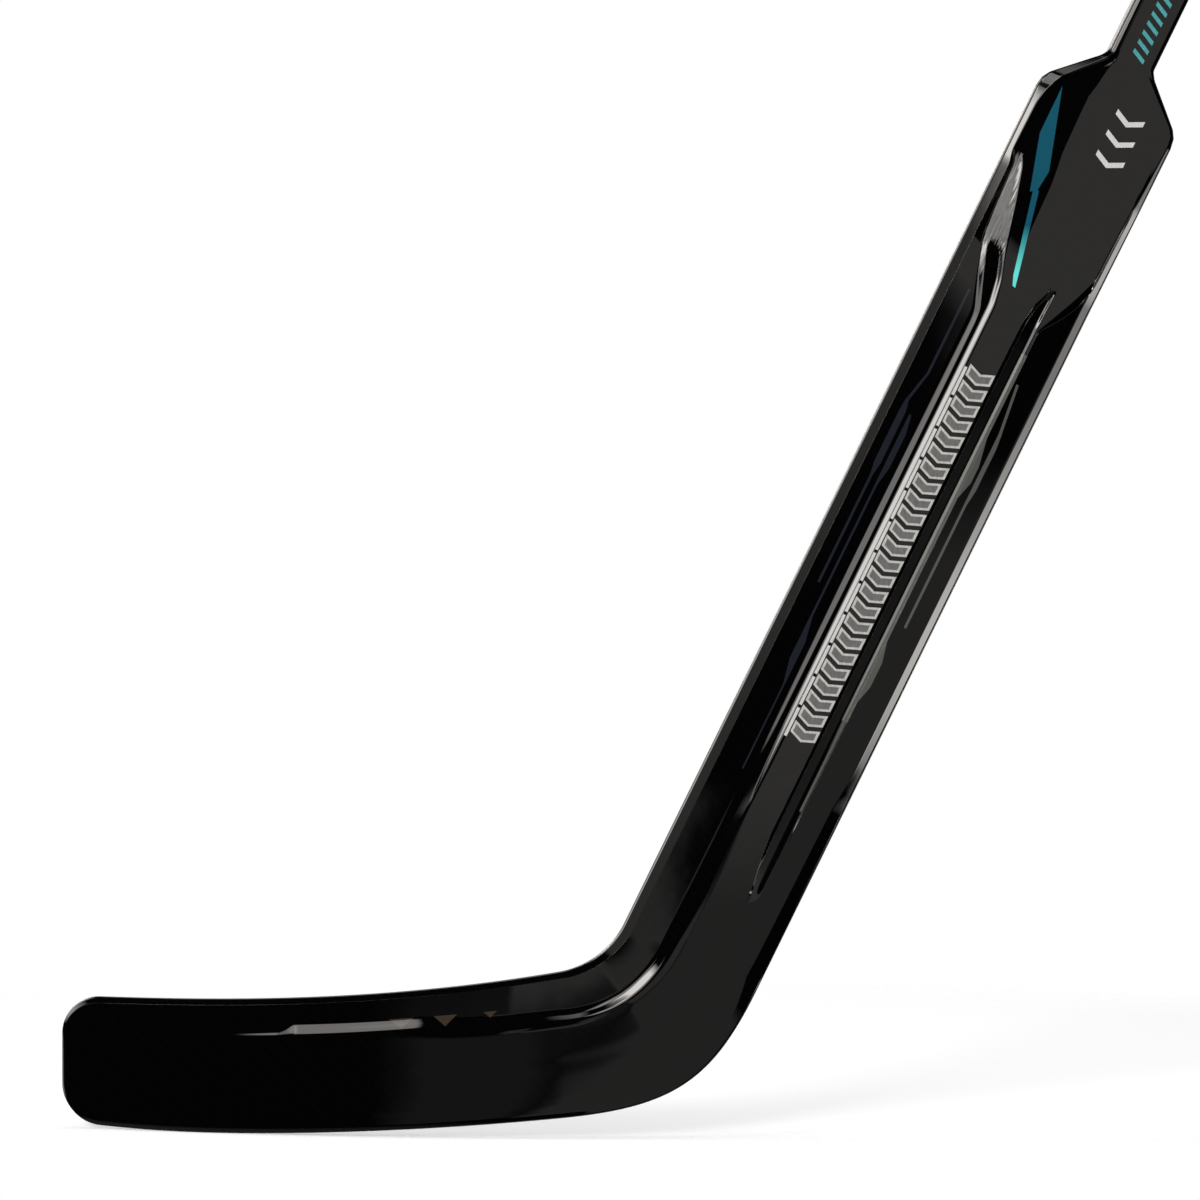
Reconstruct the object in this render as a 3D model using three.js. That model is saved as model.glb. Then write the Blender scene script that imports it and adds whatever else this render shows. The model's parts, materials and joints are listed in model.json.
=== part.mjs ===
// A hockey goalie stick as its separate pieces: hollow carbon shaft, foam-cored paddle and curved blade.
// Millimetres. +Z is up, the shaft leans to +X, the toe points to -X and the front face looks to -Y.
// The origin lies on the flat front face of the shaft, where a hand grips it just above the paddle.
import * as THREE from "three";

const { lerp, clamp, degToRad } = THREE.MathUtils;

// Driving sizes
const LEAN_DEGREES = 26.15;
const SHAFT_WIDTH = 29.7;
const SHAFT_THICKNESS = 20;
const SHAFT_WALL = 1.6;
const SHAFT_CORNER_RADIUS = 4;
const SHAFT_LENGTH = 700;
const GRIP_TO_NECK = 40;
const FLARE_LENGTH = 31;
const PADDLE_WIDTH = 89;
const PADDLE_LENGTH = 665.8;
const BLADE_LENGTH = 380;
const BLADE_HEIGHT = 80.6;
const BLADE_BOW = 41;
const SKIN_WALL = 1.5;
const CLEARANCE = 0.3;

// Heights of the carved front, from the mid-plane
const PLATEAU_HEIGHT = SHAFT_THICKNESS / 2;
const EDGE_LAND = 3.2;
const SHOULDER_LAND = 8.2;
const SCOOP_LAND = 6.4;
const BEVEL_HEIGHT = 6.2;
const FACET_TOP_HEIGHT = 7.8;
const LEDGE_HEIGHT = 8.8;
const GROOVE_HEIGHT = 8.4;
const OUTER_RIDGE_HEIGHT = 9.2;
const OUTER_FACET_HEIGHT = 8.6;
const HEEL_HEIGHT = 9.2;
const BLADE_ROOT_HEIGHT = 7.6;
const BLADE_MIDDLE_HEIGHT = 6;
const BLADE_END_HEIGHT = 4.8;
const BLADE_LAND = 2.4;
const TOE_LAND = 1.6;
const TOE_HEIGHT = 2.6;

// Widths of the bevels along both edges
const NECK_BEVEL = 4;
const SHOULDER_BEVEL = 3;
const SCOOP_BEVEL = 4.5;
const PADDLE_BEVEL = 6.3;
const BLADE_ROOT_BEVEL = 12;
const BLADE_MIDDLE_BEVEL = 17;
const BLADE_END_BEVEL = 20;
const TOE_BEVEL = 5;
const BLADE_FOOT_BEVEL = 9;

// Places along the paddle, from the shoulder
const SCOOP_DISTANCE = 50;
const NOTCH_DISTANCE = 105;
const RIDGE_START_DISTANCE = 137;
const RIDGE_FADE_DISTANCE = 459;
const RIDGE_END_DISTANCE = 529;

// Places along the blade, from the heel
const BLADE_ROOT_DISTANCE = 75;
const BOW_START_DISTANCE = 68;
const BLADE_MIDDLE_DISTANCE = 175;
const BLADE_END_DISTANCE = 290;
const TOP_FLAT_DISTANCE = 343;
const FOOT_LOWEST_DISTANCE = 293;

// The blade's outline
const TOP_RISE = 19;
const TOP_RISE_POWER = 2.4;
const FOOT_RISE = 12;
const FOOT_RISE_POWER = 1.75;
const TOE_LIFT = 4;
const TOE_RADIUS = 24;
const TOE_WALL = 3;
const HEEL_FULLNESS_SHARE = 0.8;

// The pieces inside
const TENON_IN_SHAFT = 60;
const TENON_IN_PADDLE = 45;
const TENON_CORNER = 3;
const TENON_END_WIDTH = 20;
const SHOULDER_BLOCK_TOP = 16;
const HEEL_BLOCK_LAP = 6;
const TOE_BLOCK_LENGTH = 38;
const DAMPER_THICKNESS = 1.2;
const DAMPER_TOP_DISTANCE = 130;
const DAMPER_LENGTH = 320;
const PLUG_LENGTH = 60;
const CAP_THICKNESS = 4;
const CAP_CHAMFER = 1.2;
const CAP_SPIGOT = 12;

// How finely the curves are stepped
const CORNER_STEPS = 4;
const FAN_STEPS = 8;
const BLADE_STEPS = 9;
const TOE_STEPS = 4;

// The width of the flare between the neck and the shoulder: share of its length, share of its growth
const FLARE_SHARES = [
  [0, 0],
  [0.15, 0.1],
  [0.85, 0.87],
  [1, 0.965],
  [1.2, 1],
];

// Where the ten carved lines between the bevels cross the body, as shares of its width
const NECK_LINE_SHARES = [0.15, 0.164, 0.178, 0.192, 0.206, 0.77, 0.79, 0.81, 0.83, 0.85];
const SHOULDER_LINE_SHARES = [0.08, 0.088, 0.096, 0.105, 0.345, 0.69, 0.713, 0.736, 0.935, 0.952];
const SCOOP_LINE_SHARES = [0.082, 0.092, 0.103, 0.127, 0.388, 0.69, 0.713, 0.736, 0.925, 0.94];
const NOTCH_LINE_SHARES = [0.163, 0.174, 0.281, 0.303, 0.403, 0.69, 0.71, 0.73, 0.908, 0.918];
const PADDLE_LINE_SHARES = [0.304, 0.32, 0.371, 0.41, 0.432, 0.621, 0.64, 0.699, 0.716, 0.736];
const BLADE_LINE_SHARES = [0.3, 0.35, 0.4, 0.45, 0.5, 0.55, 0.6, 0.66, 0.72, 0.79];

// Heights of those lines where the carving is young or gone, as shares of the crown there
const FLAT_HEIGHT_SHARES = [1, 1, 1, 1, 1, 1, 1, 1, 1, 1];
const SHOULDER_HEIGHT_SHARES = [0.631, 0.643, 0.655, 0.668, 1, 1, 1, 1, 1, 1];
const SCOOP_HEIGHT_SHARES = [0.61, 0.61, 0.61, 0.7, 1, 1, 1, 1, 1, 0.98];
const NOTCH_HEIGHT_SHARES = [0.7, 0.72, 0.76, 0.89, 1, 1, 1, 1, 1, 0.69];
const DOMED_HEIGHT_SHARES = [0.94, 0.96, 0.98, 1, 1, 1, 0.99, 0.98, 0.96, 0.92];
const FOOT_HEIGHT_SHARE = 0.86;

const LEAN = degToRad(LEAN_DEGREES);
const MID_DEPTH = SHAFT_THICKNESS / 2;
const SHOULDER = GRIP_TO_NECK + FLARE_LENGTH;
const HEEL_ALONG = SHOULDER + PADDLE_LENGTH;

// A place in the stick's plane, from its distance down the shaft's line and across it
function onStick(along, across) {
  const x = across * Math.cos(LEAN) - along * Math.sin(LEAN);
  const z = -across * Math.sin(LEAN) - along * Math.cos(LEAN);
  return new THREE.Vector2(x, z);
}

const HEEL = onStick(HEEL_ALONG, PADDLE_WIDTH / 2);

// The blade's top edge and foot, by the distance from the heel
function topEdge(distance) {
  const span = TOP_FLAT_DISTANCE - BLADE_ROOT_DISTANCE;
  const share = Math.max(TOP_FLAT_DISTANCE - distance, 0) / span;
  const z = HEEL.y + BLADE_HEIGHT + TOP_RISE * share ** TOP_RISE_POWER;
  return new THREE.Vector2(HEEL.x - distance, z);
}

function footEdge(distance) {
  const rear = Math.max(FOOT_LOWEST_DISTANCE - distance, 0) / (FOOT_LOWEST_DISTANCE - BLADE_ROOT_DISTANCE);
  const front = Math.max(distance - FOOT_LOWEST_DISTANCE, 0) / (BLADE_LENGTH - FOOT_LOWEST_DISTANCE);
  const z = HEEL.y + FOOT_RISE * rear ** FOOT_RISE_POWER + TOE_LIFT * front ** 2;
  return new THREE.Vector2(HEEL.x - distance, z);
}

// The round inner corner touches the paddle's edge and the end of the blade's top edge
const CORNER_END = topEdge(BLADE_ROOT_DISTANCE);
const TOP_SLOPE = Math.atan((TOP_RISE_POWER * TOP_RISE) / (TOP_FLAT_DISTANCE - BLADE_ROOT_DISTANCE));
const TOP_NORMAL = new THREE.Vector2(-Math.sin(TOP_SLOPE), Math.cos(TOP_SLOPE));
const ACROSS = new THREE.Vector2(Math.cos(LEAN), -Math.sin(LEAN));
const CORNER_RADIUS = (-PADDLE_WIDTH / 2 - ACROSS.dot(CORNER_END)) / (1 + ACROSS.dot(TOP_NORMAL));
const CORNER_CENTRE = CORNER_END.clone().addScaledVector(TOP_NORMAL, CORNER_RADIUS);
const CORNER_TURN = Math.PI / 2 - TOP_SLOPE - LEAN;
const FAN_START = -CORNER_CENTRE.x * Math.sin(LEAN) - CORNER_CENTRE.y * Math.cos(LEAN);
const FAN_LENGTH = (CORNER_RADIUS + PADDLE_WIDTH / 2) * CORNER_TURN;
const FAN_END = FAN_START + FAN_LENGTH;
const TRAVEL_TO_DISTANCE = BLADE_ROOT_DISTANCE - FAN_END;

// The round heel runs on from both of its straight neighbours
const HEEL_START = onStick(FAN_START, PADDLE_WIDTH / 2);
const HEEL_END = footEdge(BLADE_ROOT_DISTANCE);
const FOOT_SLOPE = (FOOT_RISE_POWER * FOOT_RISE) / (FOOT_LOWEST_DISTANCE - BLADE_ROOT_DISTANCE);
const DOWN_SLOPE = 1 / Math.tan(LEAN);
const HEEL_DROP = HEEL_END.y - HEEL_START.y + DOWN_SLOPE * HEEL_START.x - FOOT_SLOPE * HEEL_END.x;
const MEET_X = HEEL_DROP / (DOWN_SLOPE - FOOT_SLOPE);
const HEEL_MEET = new THREE.Vector2(MEET_X, HEEL_END.y + FOOT_SLOPE * (MEET_X - HEEL_END.x));
const HEEL_CURVE = new THREE.CubicBezierCurve(
  HEEL_START,
  HEEL_START.clone().lerp(HEEL_MEET, HEEL_FULLNESS_SHARE),
  HEEL_END.clone().lerp(HEEL_MEET, HEEL_FULLNESS_SHARE),
  HEEL_END,
);

// A value read from a table of pairs, straight between them
function readTable(table, at) {
  const next = table.findIndex((pair) => pair[0] >= at);
  if (next < 0) return table[table.length - 1][1];
  if (next === 0) return table[0][1];
  const [a, b] = [table[next - 1], table[next]];
  return lerp(a[1], b[1], (at - a[0]) / (b[0] - a[0]));
}

// The line across the body at one travel: down the paddle, round the heel and out along the blade
function crossLine(travel) {
  if (travel <= FAN_START) {
    const growth = readTable(FLARE_SHARES, (travel - GRIP_TO_NECK) / FLARE_LENGTH);
    const half = lerp(SHAFT_WIDTH, PADDLE_WIDTH, growth) / 2;
    return [onStick(travel, -half), onStick(travel, half)];
  }
  if (travel < FAN_END) {
    const share = (travel - FAN_START) / FAN_LENGTH;
    const turn = LEAN + CORNER_TURN * share;
    const ray = new THREE.Vector2(Math.cos(turn), -Math.sin(turn));
    return [CORNER_CENTRE.clone().addScaledVector(ray, CORNER_RADIUS), HEEL_CURVE.getPoint(share)];
  }
  const distance = Math.min(travel + TRAVEL_TO_DISTANCE, BLADE_LENGTH);
  const past = clamp(distance - (BLADE_LENGTH - TOE_RADIUS), 0, TOE_RADIUS);
  const inset = TOE_RADIUS - Math.sqrt(TOE_RADIUS ** 2 - past ** 2);
  const shrink = new THREE.Vector2(0, inset);
  return [topEdge(distance).sub(shrink), footEdge(distance).add(shrink)];
}

const onBlade = (distance) => distance - TRAVEL_TO_DISTANCE;

// Line heights where the body is plain, from its crown
const plain = (crown, shares) => shares.map((share) => share * crown);

const CARVED_HEIGHTS = [
  FACET_TOP_HEIGHT,
  LEDGE_HEIGHT,
  LEDGE_HEIGHT,
  PLATEAU_HEIGHT,
  PLATEAU_HEIGHT,
  PLATEAU_HEIGHT,
  GROOVE_HEIGHT,
  GROOVE_HEIGHT,
  OUTER_RIDGE_HEIGHT,
  OUTER_FACET_HEIGHT,
];

// The body's full carving, in the middle of the paddle
const CARVED = {
  lands: [EDGE_LAND, EDGE_LAND],
  bevels: [PADDLE_BEVEL, PADDLE_BEVEL],
  bevelHeights: [BEVEL_HEIGHT, BEVEL_HEIGHT],
  lines: PADDLE_LINE_SHARES,
  heights: CARVED_HEIGHTS,
};

// The blade's plain section, from its crown and the widths of its bevels
function bladeSection(distance, crown, land, innerBevel) {
  return {
    at: onBlade(distance),
    lands: [land, land],
    bevels: [innerBevel, BLADE_FOOT_BEVEL],
    bevelHeights: [crown * DOMED_HEIGHT_SHARES[0], crown * FOOT_HEIGHT_SHARE],
    lines: BLADE_LINE_SHARES,
    heights: plain(crown, DOMED_HEIGHT_SHARES),
  };
}

// The body's shape at its key places: edge lands, bevels, carved lines and their heights
const KEY_SECTIONS = [
  {
    at: GRIP_TO_NECK,
    lands: [PLATEAU_HEIGHT - NECK_BEVEL, PLATEAU_HEIGHT - NECK_BEVEL],
    bevels: [NECK_BEVEL, NECK_BEVEL],
    bevelHeights: [PLATEAU_HEIGHT, PLATEAU_HEIGHT],
    lines: NECK_LINE_SHARES,
    heights: plain(PLATEAU_HEIGHT, FLAT_HEIGHT_SHARES),
  },
  {
    at: SHOULDER,
    lands: [EDGE_LAND, SHOULDER_LAND],
    bevels: [PADDLE_BEVEL, SHOULDER_BEVEL],
    bevelHeights: [BEVEL_HEIGHT, PLATEAU_HEIGHT],
    lines: SHOULDER_LINE_SHARES,
    heights: plain(PLATEAU_HEIGHT, SHOULDER_HEIGHT_SHARES),
  },
  {
    at: SHOULDER + SCOOP_DISTANCE,
    lands: [EDGE_LAND, SCOOP_LAND],
    bevels: [PADDLE_BEVEL, SCOOP_BEVEL],
    bevelHeights: [BEVEL_HEIGHT, OUTER_RIDGE_HEIGHT],
    lines: SCOOP_LINE_SHARES,
    heights: plain(PLATEAU_HEIGHT, SCOOP_HEIGHT_SHARES),
  },
  {
    ...CARVED,
    at: SHOULDER + NOTCH_DISTANCE,
    lines: NOTCH_LINE_SHARES,
    heights: plain(PLATEAU_HEIGHT, NOTCH_HEIGHT_SHARES),
  },
  { ...CARVED, at: SHOULDER + RIDGE_START_DISTANCE },
  { ...CARVED, at: SHOULDER + RIDGE_FADE_DISTANCE },
  {
    ...CARVED,
    at: SHOULDER + RIDGE_END_DISTANCE,
    heights: plain(PLATEAU_HEIGHT, DOMED_HEIGHT_SHARES),
  },
  {
    ...CARVED,
    at: FAN_START + FAN_LENGTH / 2,
    lines: BLADE_LINE_SHARES,
    heights: plain(HEEL_HEIGHT, DOMED_HEIGHT_SHARES),
  },
  bladeSection(BLADE_ROOT_DISTANCE, BLADE_ROOT_HEIGHT, EDGE_LAND, BLADE_ROOT_BEVEL),
  bladeSection(BLADE_MIDDLE_DISTANCE, BLADE_MIDDLE_HEIGHT, BLADE_LAND, BLADE_MIDDLE_BEVEL),
  bladeSection(BLADE_END_DISTANCE, BLADE_END_HEIGHT, BLADE_LAND, BLADE_END_BEVEL),
  bladeSection(BLADE_LENGTH - TOE_RADIUS, BLADE_END_HEIGHT, BLADE_LAND, BLADE_END_BEVEL),
  {
    at: onBlade(BLADE_LENGTH),
    lands: [TOE_LAND, TOE_LAND],
    bevels: [TOE_BEVEL, TOE_BEVEL],
    bevelHeights: [TOE_HEIGHT, TOE_HEIGHT],
    lines: BLADE_LINE_SHARES,
    heights: plain(TOE_HEIGHT, FLAT_HEIGHT_SHARES),
  },
];

const mixRows = (a, b, share) => a.map((value, i) => lerp(value, b[i], share));

function sectionAt(travel) {
  const last = KEY_SECTIONS.length - 1;
  const found = KEY_SECTIONS.findIndex((key) => key.at >= travel);
  const next = clamp(found < 0 ? last : found, 1, last);
  const [a, b] = [KEY_SECTIONS[next - 1], KEY_SECTIONS[next]];
  const share = clamp((travel - a.at) / (b.at - a.at), 0, 1);
  return {
    lands: mixRows(a.lands, b.lands, share),
    bevels: mixRows(a.bevels, b.bevels, share),
    bevelHeights: mixRows(a.bevelHeights, b.bevelHeights, share),
    lines: mixRows(a.lines, b.lines, share),
    heights: mixRows(a.heights, b.heights, share),
  };
}

// The row of shape lines across the body, on the surface that lies this deep under the outside
const SEAM_HEIGHT = CLEARANCE / 2;

function surfaceRow(travel, depth) {
  const [inner, outer] = crossLine(travel);
  const width = inner.distanceTo(outer);
  const shape = sectionAt(travel);
  const [innerBevel, outerBevel] = shape.bevels;
  const [innerHeight, outerHeight] = shape.bevelHeights;
  const innerLand = lerp(shape.lands[0], innerHeight, depth / innerBevel) - depth;
  const outerLand = lerp(shape.lands[1], outerHeight, depth / outerBevel) - depth;
  const middle = shape.lines.map((share, i) => [share * width, shape.heights[i] - depth]);
  return [
    [depth, SEAM_HEIGHT],
    [depth, innerLand],
    [innerBevel, innerHeight - depth],
    ...middle,
    [width - outerBevel, outerHeight - depth],
    [width - depth, outerLand],
    [width - depth, SEAM_HEIGHT],
  ];
}

// Names for the shape lines, in order from the inner edge
const LINE_NAMES = [
  "innerSeam",
  "innerLand",
  "innerBevel",
  "facetTop",
  "ledgeStart",
  "ridgeFoot",
  "ridgeTop",
  "plateauInner",
  "plateauOuter",
  "grooveInner",
  "grooveOuter",
  "outerRidge",
  "outerFacet",
  "outerBevel",
  "outerLand",
  "outerSeam",
];
const line = Object.fromEntries(LINE_NAMES.map((name, i) => [name, i]));

// How far the blade bows back, away from the front
function bowAt(x) {
  const span = BLADE_LENGTH - BOW_START_DISTANCE;
  const share = Math.max(HEEL.x - BOW_START_DISTANCE - x, 0) / span;
  return BLADE_BOW * share ** 2;
}

// Points in space from pairs of across and height, on the front (side 1) or on the back (side -1)
function placeRow(travel, row, side) {
  const [inner, outer] = crossLine(travel);
  const direction = outer.clone().sub(inner).normalize();
  return row.map(([across, height]) => {
    const spot = inner.clone().addScaledVector(direction, across);
    return new THREE.Vector3(spot.x, MID_DEPTH + bowAt(spot.x) - side * height, spot.y);
  });
}

// A closed solid from matching front and back rows of points, one pair of rows at each station
function stripSolid(stations) {
  const positions = [];
  const quad = (a, b, c, d) => {
    for (const corner of [a, b, c, a, c, d]) positions.push(...corner.toArray());
  };
  const last = stations[0].front.length - 1;
  for (let s = 0; s + 1 < stations.length; s += 1) {
    const [near, far] = [stations[s], stations[s + 1]];
    for (let i = 0; i < last; i += 1) {
      quad(near.front[i], far.front[i], far.front[i + 1], near.front[i + 1]);
      quad(near.back[i], near.back[i + 1], far.back[i + 1], far.back[i]);
    }
    quad(near.front[0], near.back[0], far.back[0], far.front[0]);
    quad(near.front[last], far.front[last], far.back[last], near.back[last]);
  }
  const [first, end] = [stations[0], stations[stations.length - 1]];
  for (let i = 0; i < last; i += 1) {
    quad(first.front[i], first.front[i + 1], first.back[i + 1], first.back[i]);
    quad(end.front[i], end.back[i], end.back[i + 1], end.front[i + 1]);
  }
  const geometry = new THREE.BufferGeometry();
  geometry.setAttribute("position", new THREE.Float32BufferAttribute(positions, 3));
  geometry.computeVertexNormals();
  return geometry;
}

// Every travel at which the body's shape has a station
const KNOTS = [
  ...FLARE_SHARES.map(([share]) => GRIP_TO_NECK + share * FLARE_LENGTH),
  ...KEY_SECTIONS.map((key) => key.at),
  FAN_START,
];
for (let i = 1; i < FAN_STEPS; i += 1) KNOTS.push(FAN_START + (FAN_LENGTH * i) / FAN_STEPS);
for (let i = 1; i < BLADE_STEPS; i += 1) {
  KNOTS.push(onBlade(lerp(BLADE_ROOT_DISTANCE, BLADE_LENGTH - TOE_RADIUS, i / BLADE_STEPS)));
}
for (let i = 1; i < TOE_STEPS; i += 1) {
  const turn = (Math.PI / 2) * (i / TOE_STEPS);
  KNOTS.push(onBlade(BLADE_LENGTH - TOE_RADIUS + TOE_RADIUS * Math.sin(turn)));
}
const TOE_INSIDE = onBlade(BLADE_LENGTH - TOE_WALL);
KNOTS.push(TOE_INSIDE - TOE_WALL, TOE_INSIDE);
KNOTS.sort((a, b) => a - b);

const SHORTEST_STEP = CLEARANCE * 2;

function travelsBetween(from, to) {
  const inside = KNOTS.filter((knot) => knot > from + SHORTEST_STEP && knot < to - SHORTEST_STEP);
  const apart = inside.filter((knot, i) => i === 0 || knot - inside[i - 1] > SHORTEST_STEP);
  return [from, ...apart, to];
}

// A moulded shell over the front or the back, open behind and solid at the toe
function skin(from, to, side) {
  return stripSolid(
    travelsBetween(from, to).map((travel) => {
      const outside = placeRow(travel, surfaceRow(travel, 0), side);
      const bottom = surfaceRow(travel, SKIN_WALL);
      if (travel >= TOE_INSIDE) {
        for (const point of bottom) point[1] = SEAM_HEIGHT;
        bottom[line.innerLand][0] += SKIN_WALL;
        bottom[line.outerLand][0] -= SKIN_WALL;
      }
      const inside = placeRow(travel, bottom, side);
      return side > 0 ? { front: outside, back: inside } : { front: inside, back: outside };
    }),
  );
}

// A piece inside the skins, between two of the shape lines. It runs from front to back, or from the
// drop under the front skin; a sheet has its own thickness instead
const FILL_DEPTH = SKIN_WALL + CLEARANCE;

function filling(from, to, firstLine, lastLine, { drop = 0, sheet = 0 } = {}) {
  const innerGap = firstLine === "innerLand" ? 0 : CLEARANCE / 2;
  const outerGap = lastLine === "outerLand" ? 0 : CLEARANCE / 2;
  return stripSolid(
    travelsBetween(from, to).map((travel) => {
      const row = surfaceRow(travel, FILL_DEPTH).slice(line[firstLine], line[lastLine] + 1);
      row[0][0] += innerGap;
      row[row.length - 1][0] -= outerGap;
      const front = row.map(([across, height]) => [across, height - drop]);
      const back = row.map(([across, height]) => [across, sheet ? height - sheet : -height]);
      return { front: placeRow(travel, front, 1), back: placeRow(travel, back, 1) };
    }),
  );
}

// Rounded outline of the shaft's section, drawn in by the inset
function shaftOutline(Kind, inset) {
  const halfWidth = SHAFT_WIDTH / 2 - inset;
  const halfDepth = SHAFT_THICKNESS / 2 - inset;
  const radius = SHAFT_CORNER_RADIUS - inset;
  const outline = new Kind();
  outline.absarc(halfWidth - radius, halfDepth - radius, radius, 0, Math.PI / 2);
  outline.absarc(radius - halfWidth, halfDepth - radius, radius, Math.PI / 2, Math.PI);
  outline.absarc(radius - halfWidth, radius - halfDepth, radius, Math.PI, Math.PI * 1.5);
  outline.absarc(halfWidth - radius, radius - halfDepth, radius, Math.PI * 1.5, Math.PI * 2);
  return outline;
}

// Pieces of the shaft, upright here; their group leans them
function shaftTube() {
  const outline = shaftOutline(THREE.Shape, 0);
  outline.holes.push(shaftOutline(THREE.Path, SHAFT_WALL));
  const options = { depth: SHAFT_LENGTH, bevelEnabled: false, curveSegments: CORNER_STEPS };
  return new THREE.ExtrudeGeometry(outline, options);
}

function buttPlug() {
  const outline = shaftOutline(THREE.Shape, SHAFT_WALL + CLEARANCE);
  const options = { depth: PLUG_LENGTH, bevelEnabled: false, curveSegments: CORNER_STEPS };
  return new THREE.ExtrudeGeometry(outline, options);
}

// The cap's rings, from its spigot's foot to its chamfered top, are joined into one closed skin
function buttCap() {
  const levels = [
    [SHAFT_WALL + CLEARANCE, 0],
    [SHAFT_WALL + CLEARANCE, CAP_SPIGOT],
    [0, CAP_SPIGOT],
    [0, CAP_SPIGOT + CAP_THICKNESS - CAP_CHAMFER],
    [CAP_CHAMFER, CAP_SPIGOT + CAP_THICKNESS],
  ];
  const rings = levels.map(([inset, z]) => {
    const points = shaftOutline(THREE.Shape, inset).getPoints(CORNER_STEPS);
    points.pop();
    return points.map((point) => new THREE.Vector3(point.x, point.y, z));
  });
  const positions = [];
  const triangle = (a, b, c) => positions.push(...a.toArray(), ...b.toArray(), ...c.toArray());
  const count = rings[0].length;
  for (let level = 0; level + 1 < rings.length; level += 1) {
    for (let i = 0; i < count; i += 1) {
      const next = (i + 1) % count;
      triangle(rings[level][i], rings[level][next], rings[level + 1][next]);
      triangle(rings[level][i], rings[level + 1][next], rings[level + 1][i]);
    }
  }
  const [foot, top] = [rings[0], rings[rings.length - 1]];
  for (let i = 1; i + 1 < count; i += 1) {
    triangle(foot[0], foot[i + 1], foot[i]);
    triangle(top[0], top[i], top[i + 1]);
  }
  const geometry = new THREE.BufferGeometry();
  geometry.setAttribute("position", new THREE.Float32BufferAttribute(positions, 3));
  geometry.computeVertexNormals();
  return geometry;
}

// The tenon fills the shaft's bore and narrows into the paddle under the plateau
function shaftTenon() {
  const halfBore = SHAFT_WIDTH / 2 - SHAFT_WALL - CLEARANCE;
  const height = PLATEAU_HEIGHT - SHAFT_WALL - CLEARANCE;
  const foot = SHOULDER + TENON_IN_PADDLE;
  const levels = [
    [GRIP_TO_NECK - TENON_IN_SHAFT, halfBore],
    [SHOULDER, halfBore],
    [foot, TENON_END_WIDTH / 2],
  ];
  return stripSolid(
    levels.map(([along, half]) => {
      const row = [
        [-half, height - TENON_CORNER],
        [TENON_CORNER - half, height],
        [half - TENON_CORNER, height],
        [half, height - TENON_CORNER],
      ];
      const place = (side) => row.map(([across, rise]) => new THREE.Vector3(across, -side * rise, -along));
      return { front: place(1), back: place(-1) };
    }),
  );
}

// Materials
const carbon = () => new THREE.MeshStandardMaterial({ color: 0x17181a, roughness: 0.18, metalness: 0 });
const laminate = () => new THREE.MeshStandardMaterial({ color: 0x26282b, roughness: 0.5, metalness: 0 });
const foam = () => new THREE.MeshStandardMaterial({ color: 0xd9d2b8, roughness: 0.95, metalness: 0 });
const resin = () => new THREE.MeshStandardMaterial({ color: 0x4a4438, roughness: 0.7, metalness: 0 });
const rubber = () => new THREE.MeshStandardMaterial({ color: 0x101010, roughness: 0.8, metalness: 0 });
const wood = () => new THREE.MeshStandardMaterial({ color: 0xb98d5a, roughness: 0.8, metalness: 0 });

const stick = new THREE.Group();

function addPiece(parent, name, geometry, material) {
  const mesh = new THREE.Mesh(geometry, material);
  mesh.name = name;
  parent.add(mesh);
  return mesh;
}

// The shaft, leaning in a group of its own
const shaft = new THREE.Group();
shaft.rotation.y = LEAN;
shaft.position.y = MID_DEPTH;
stick.add(shaft);

const SHAFT_FOOT = CLEARANCE / 2 - GRIP_TO_NECK;
const SHAFT_TOP = SHAFT_FOOT + SHAFT_LENGTH;
addPiece(shaft, "shaft_tube", shaftTube(), carbon()).position.z = SHAFT_FOOT;
addPiece(shaft, "shaft_tenon", shaftTenon(), laminate());
const cap = addPiece(shaft, "butt_cap", buttCap(), rubber());
cap.position.z = SHAFT_TOP + CLEARANCE - CAP_SPIGOT;
const plug = addPiece(shaft, "butt_plug", buttPlug(), wood());
plug.position.z = cap.position.z - CLEARANCE - PLUG_LENGTH;

// The paddle, from the neck to the joint above the heel
const NECK_TOP = GRIP_TO_NECK + CLEARANCE / 2;
const BLOCK_TOP = GRIP_TO_NECK + SHOULDER_BLOCK_TOP;
const BLOCK_FOOT = SHOULDER + TENON_IN_PADDLE;
const CORE_TOP = BLOCK_FOOT + CLEARANCE;
const HEEL_JOINT = FAN_START - HEEL_BLOCK_LAP;
const PADDLE_FOOT = HEEL_JOINT - CLEARANCE / 2;
const DAMPER_TOP = SHOULDER + DAMPER_TOP_DISTANCE;
const DAMPER_FOOT = DAMPER_TOP + DAMPER_LENGTH;
const DAMPER_SPACE = DAMPER_THICKNESS + CLEARANCE;
const centreCore = filling(CORE_TOP, PADDLE_FOOT, "ridgeTop", "plateauOuter", { drop: DAMPER_SPACE });
const damperSheet = { sheet: DAMPER_THICKNESS };
const damperStrip = filling(DAMPER_TOP, DAMPER_FOOT, "plateauInner", "plateauOuter", damperSheet);
addPiece(stick, "paddle_front_skin", skin(NECK_TOP, PADDLE_FOOT, 1), carbon());
addPiece(stick, "paddle_back_skin", skin(NECK_TOP, PADDLE_FOOT, -1), carbon());
addPiece(stick, "shoulder_block_inner", filling(BLOCK_TOP, BLOCK_FOOT, "innerLand", "plateauInner"), resin());
addPiece(stick, "shoulder_block_outer", filling(BLOCK_TOP, BLOCK_FOOT, "plateauOuter", "outerLand"), resin());
addPiece(stick, "paddle_inner_rail", filling(CORE_TOP, PADDLE_FOOT, "innerLand", "innerBevel"), laminate());
addPiece(stick, "paddle_inner_core", filling(CORE_TOP, PADDLE_FOOT, "innerBevel", "ridgeFoot"), foam());
addPiece(stick, "paddle_inner_web", filling(CORE_TOP, PADDLE_FOOT, "ridgeFoot", "ridgeTop"), laminate());
addPiece(stick, "paddle_centre_core", centreCore, foam());
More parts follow.
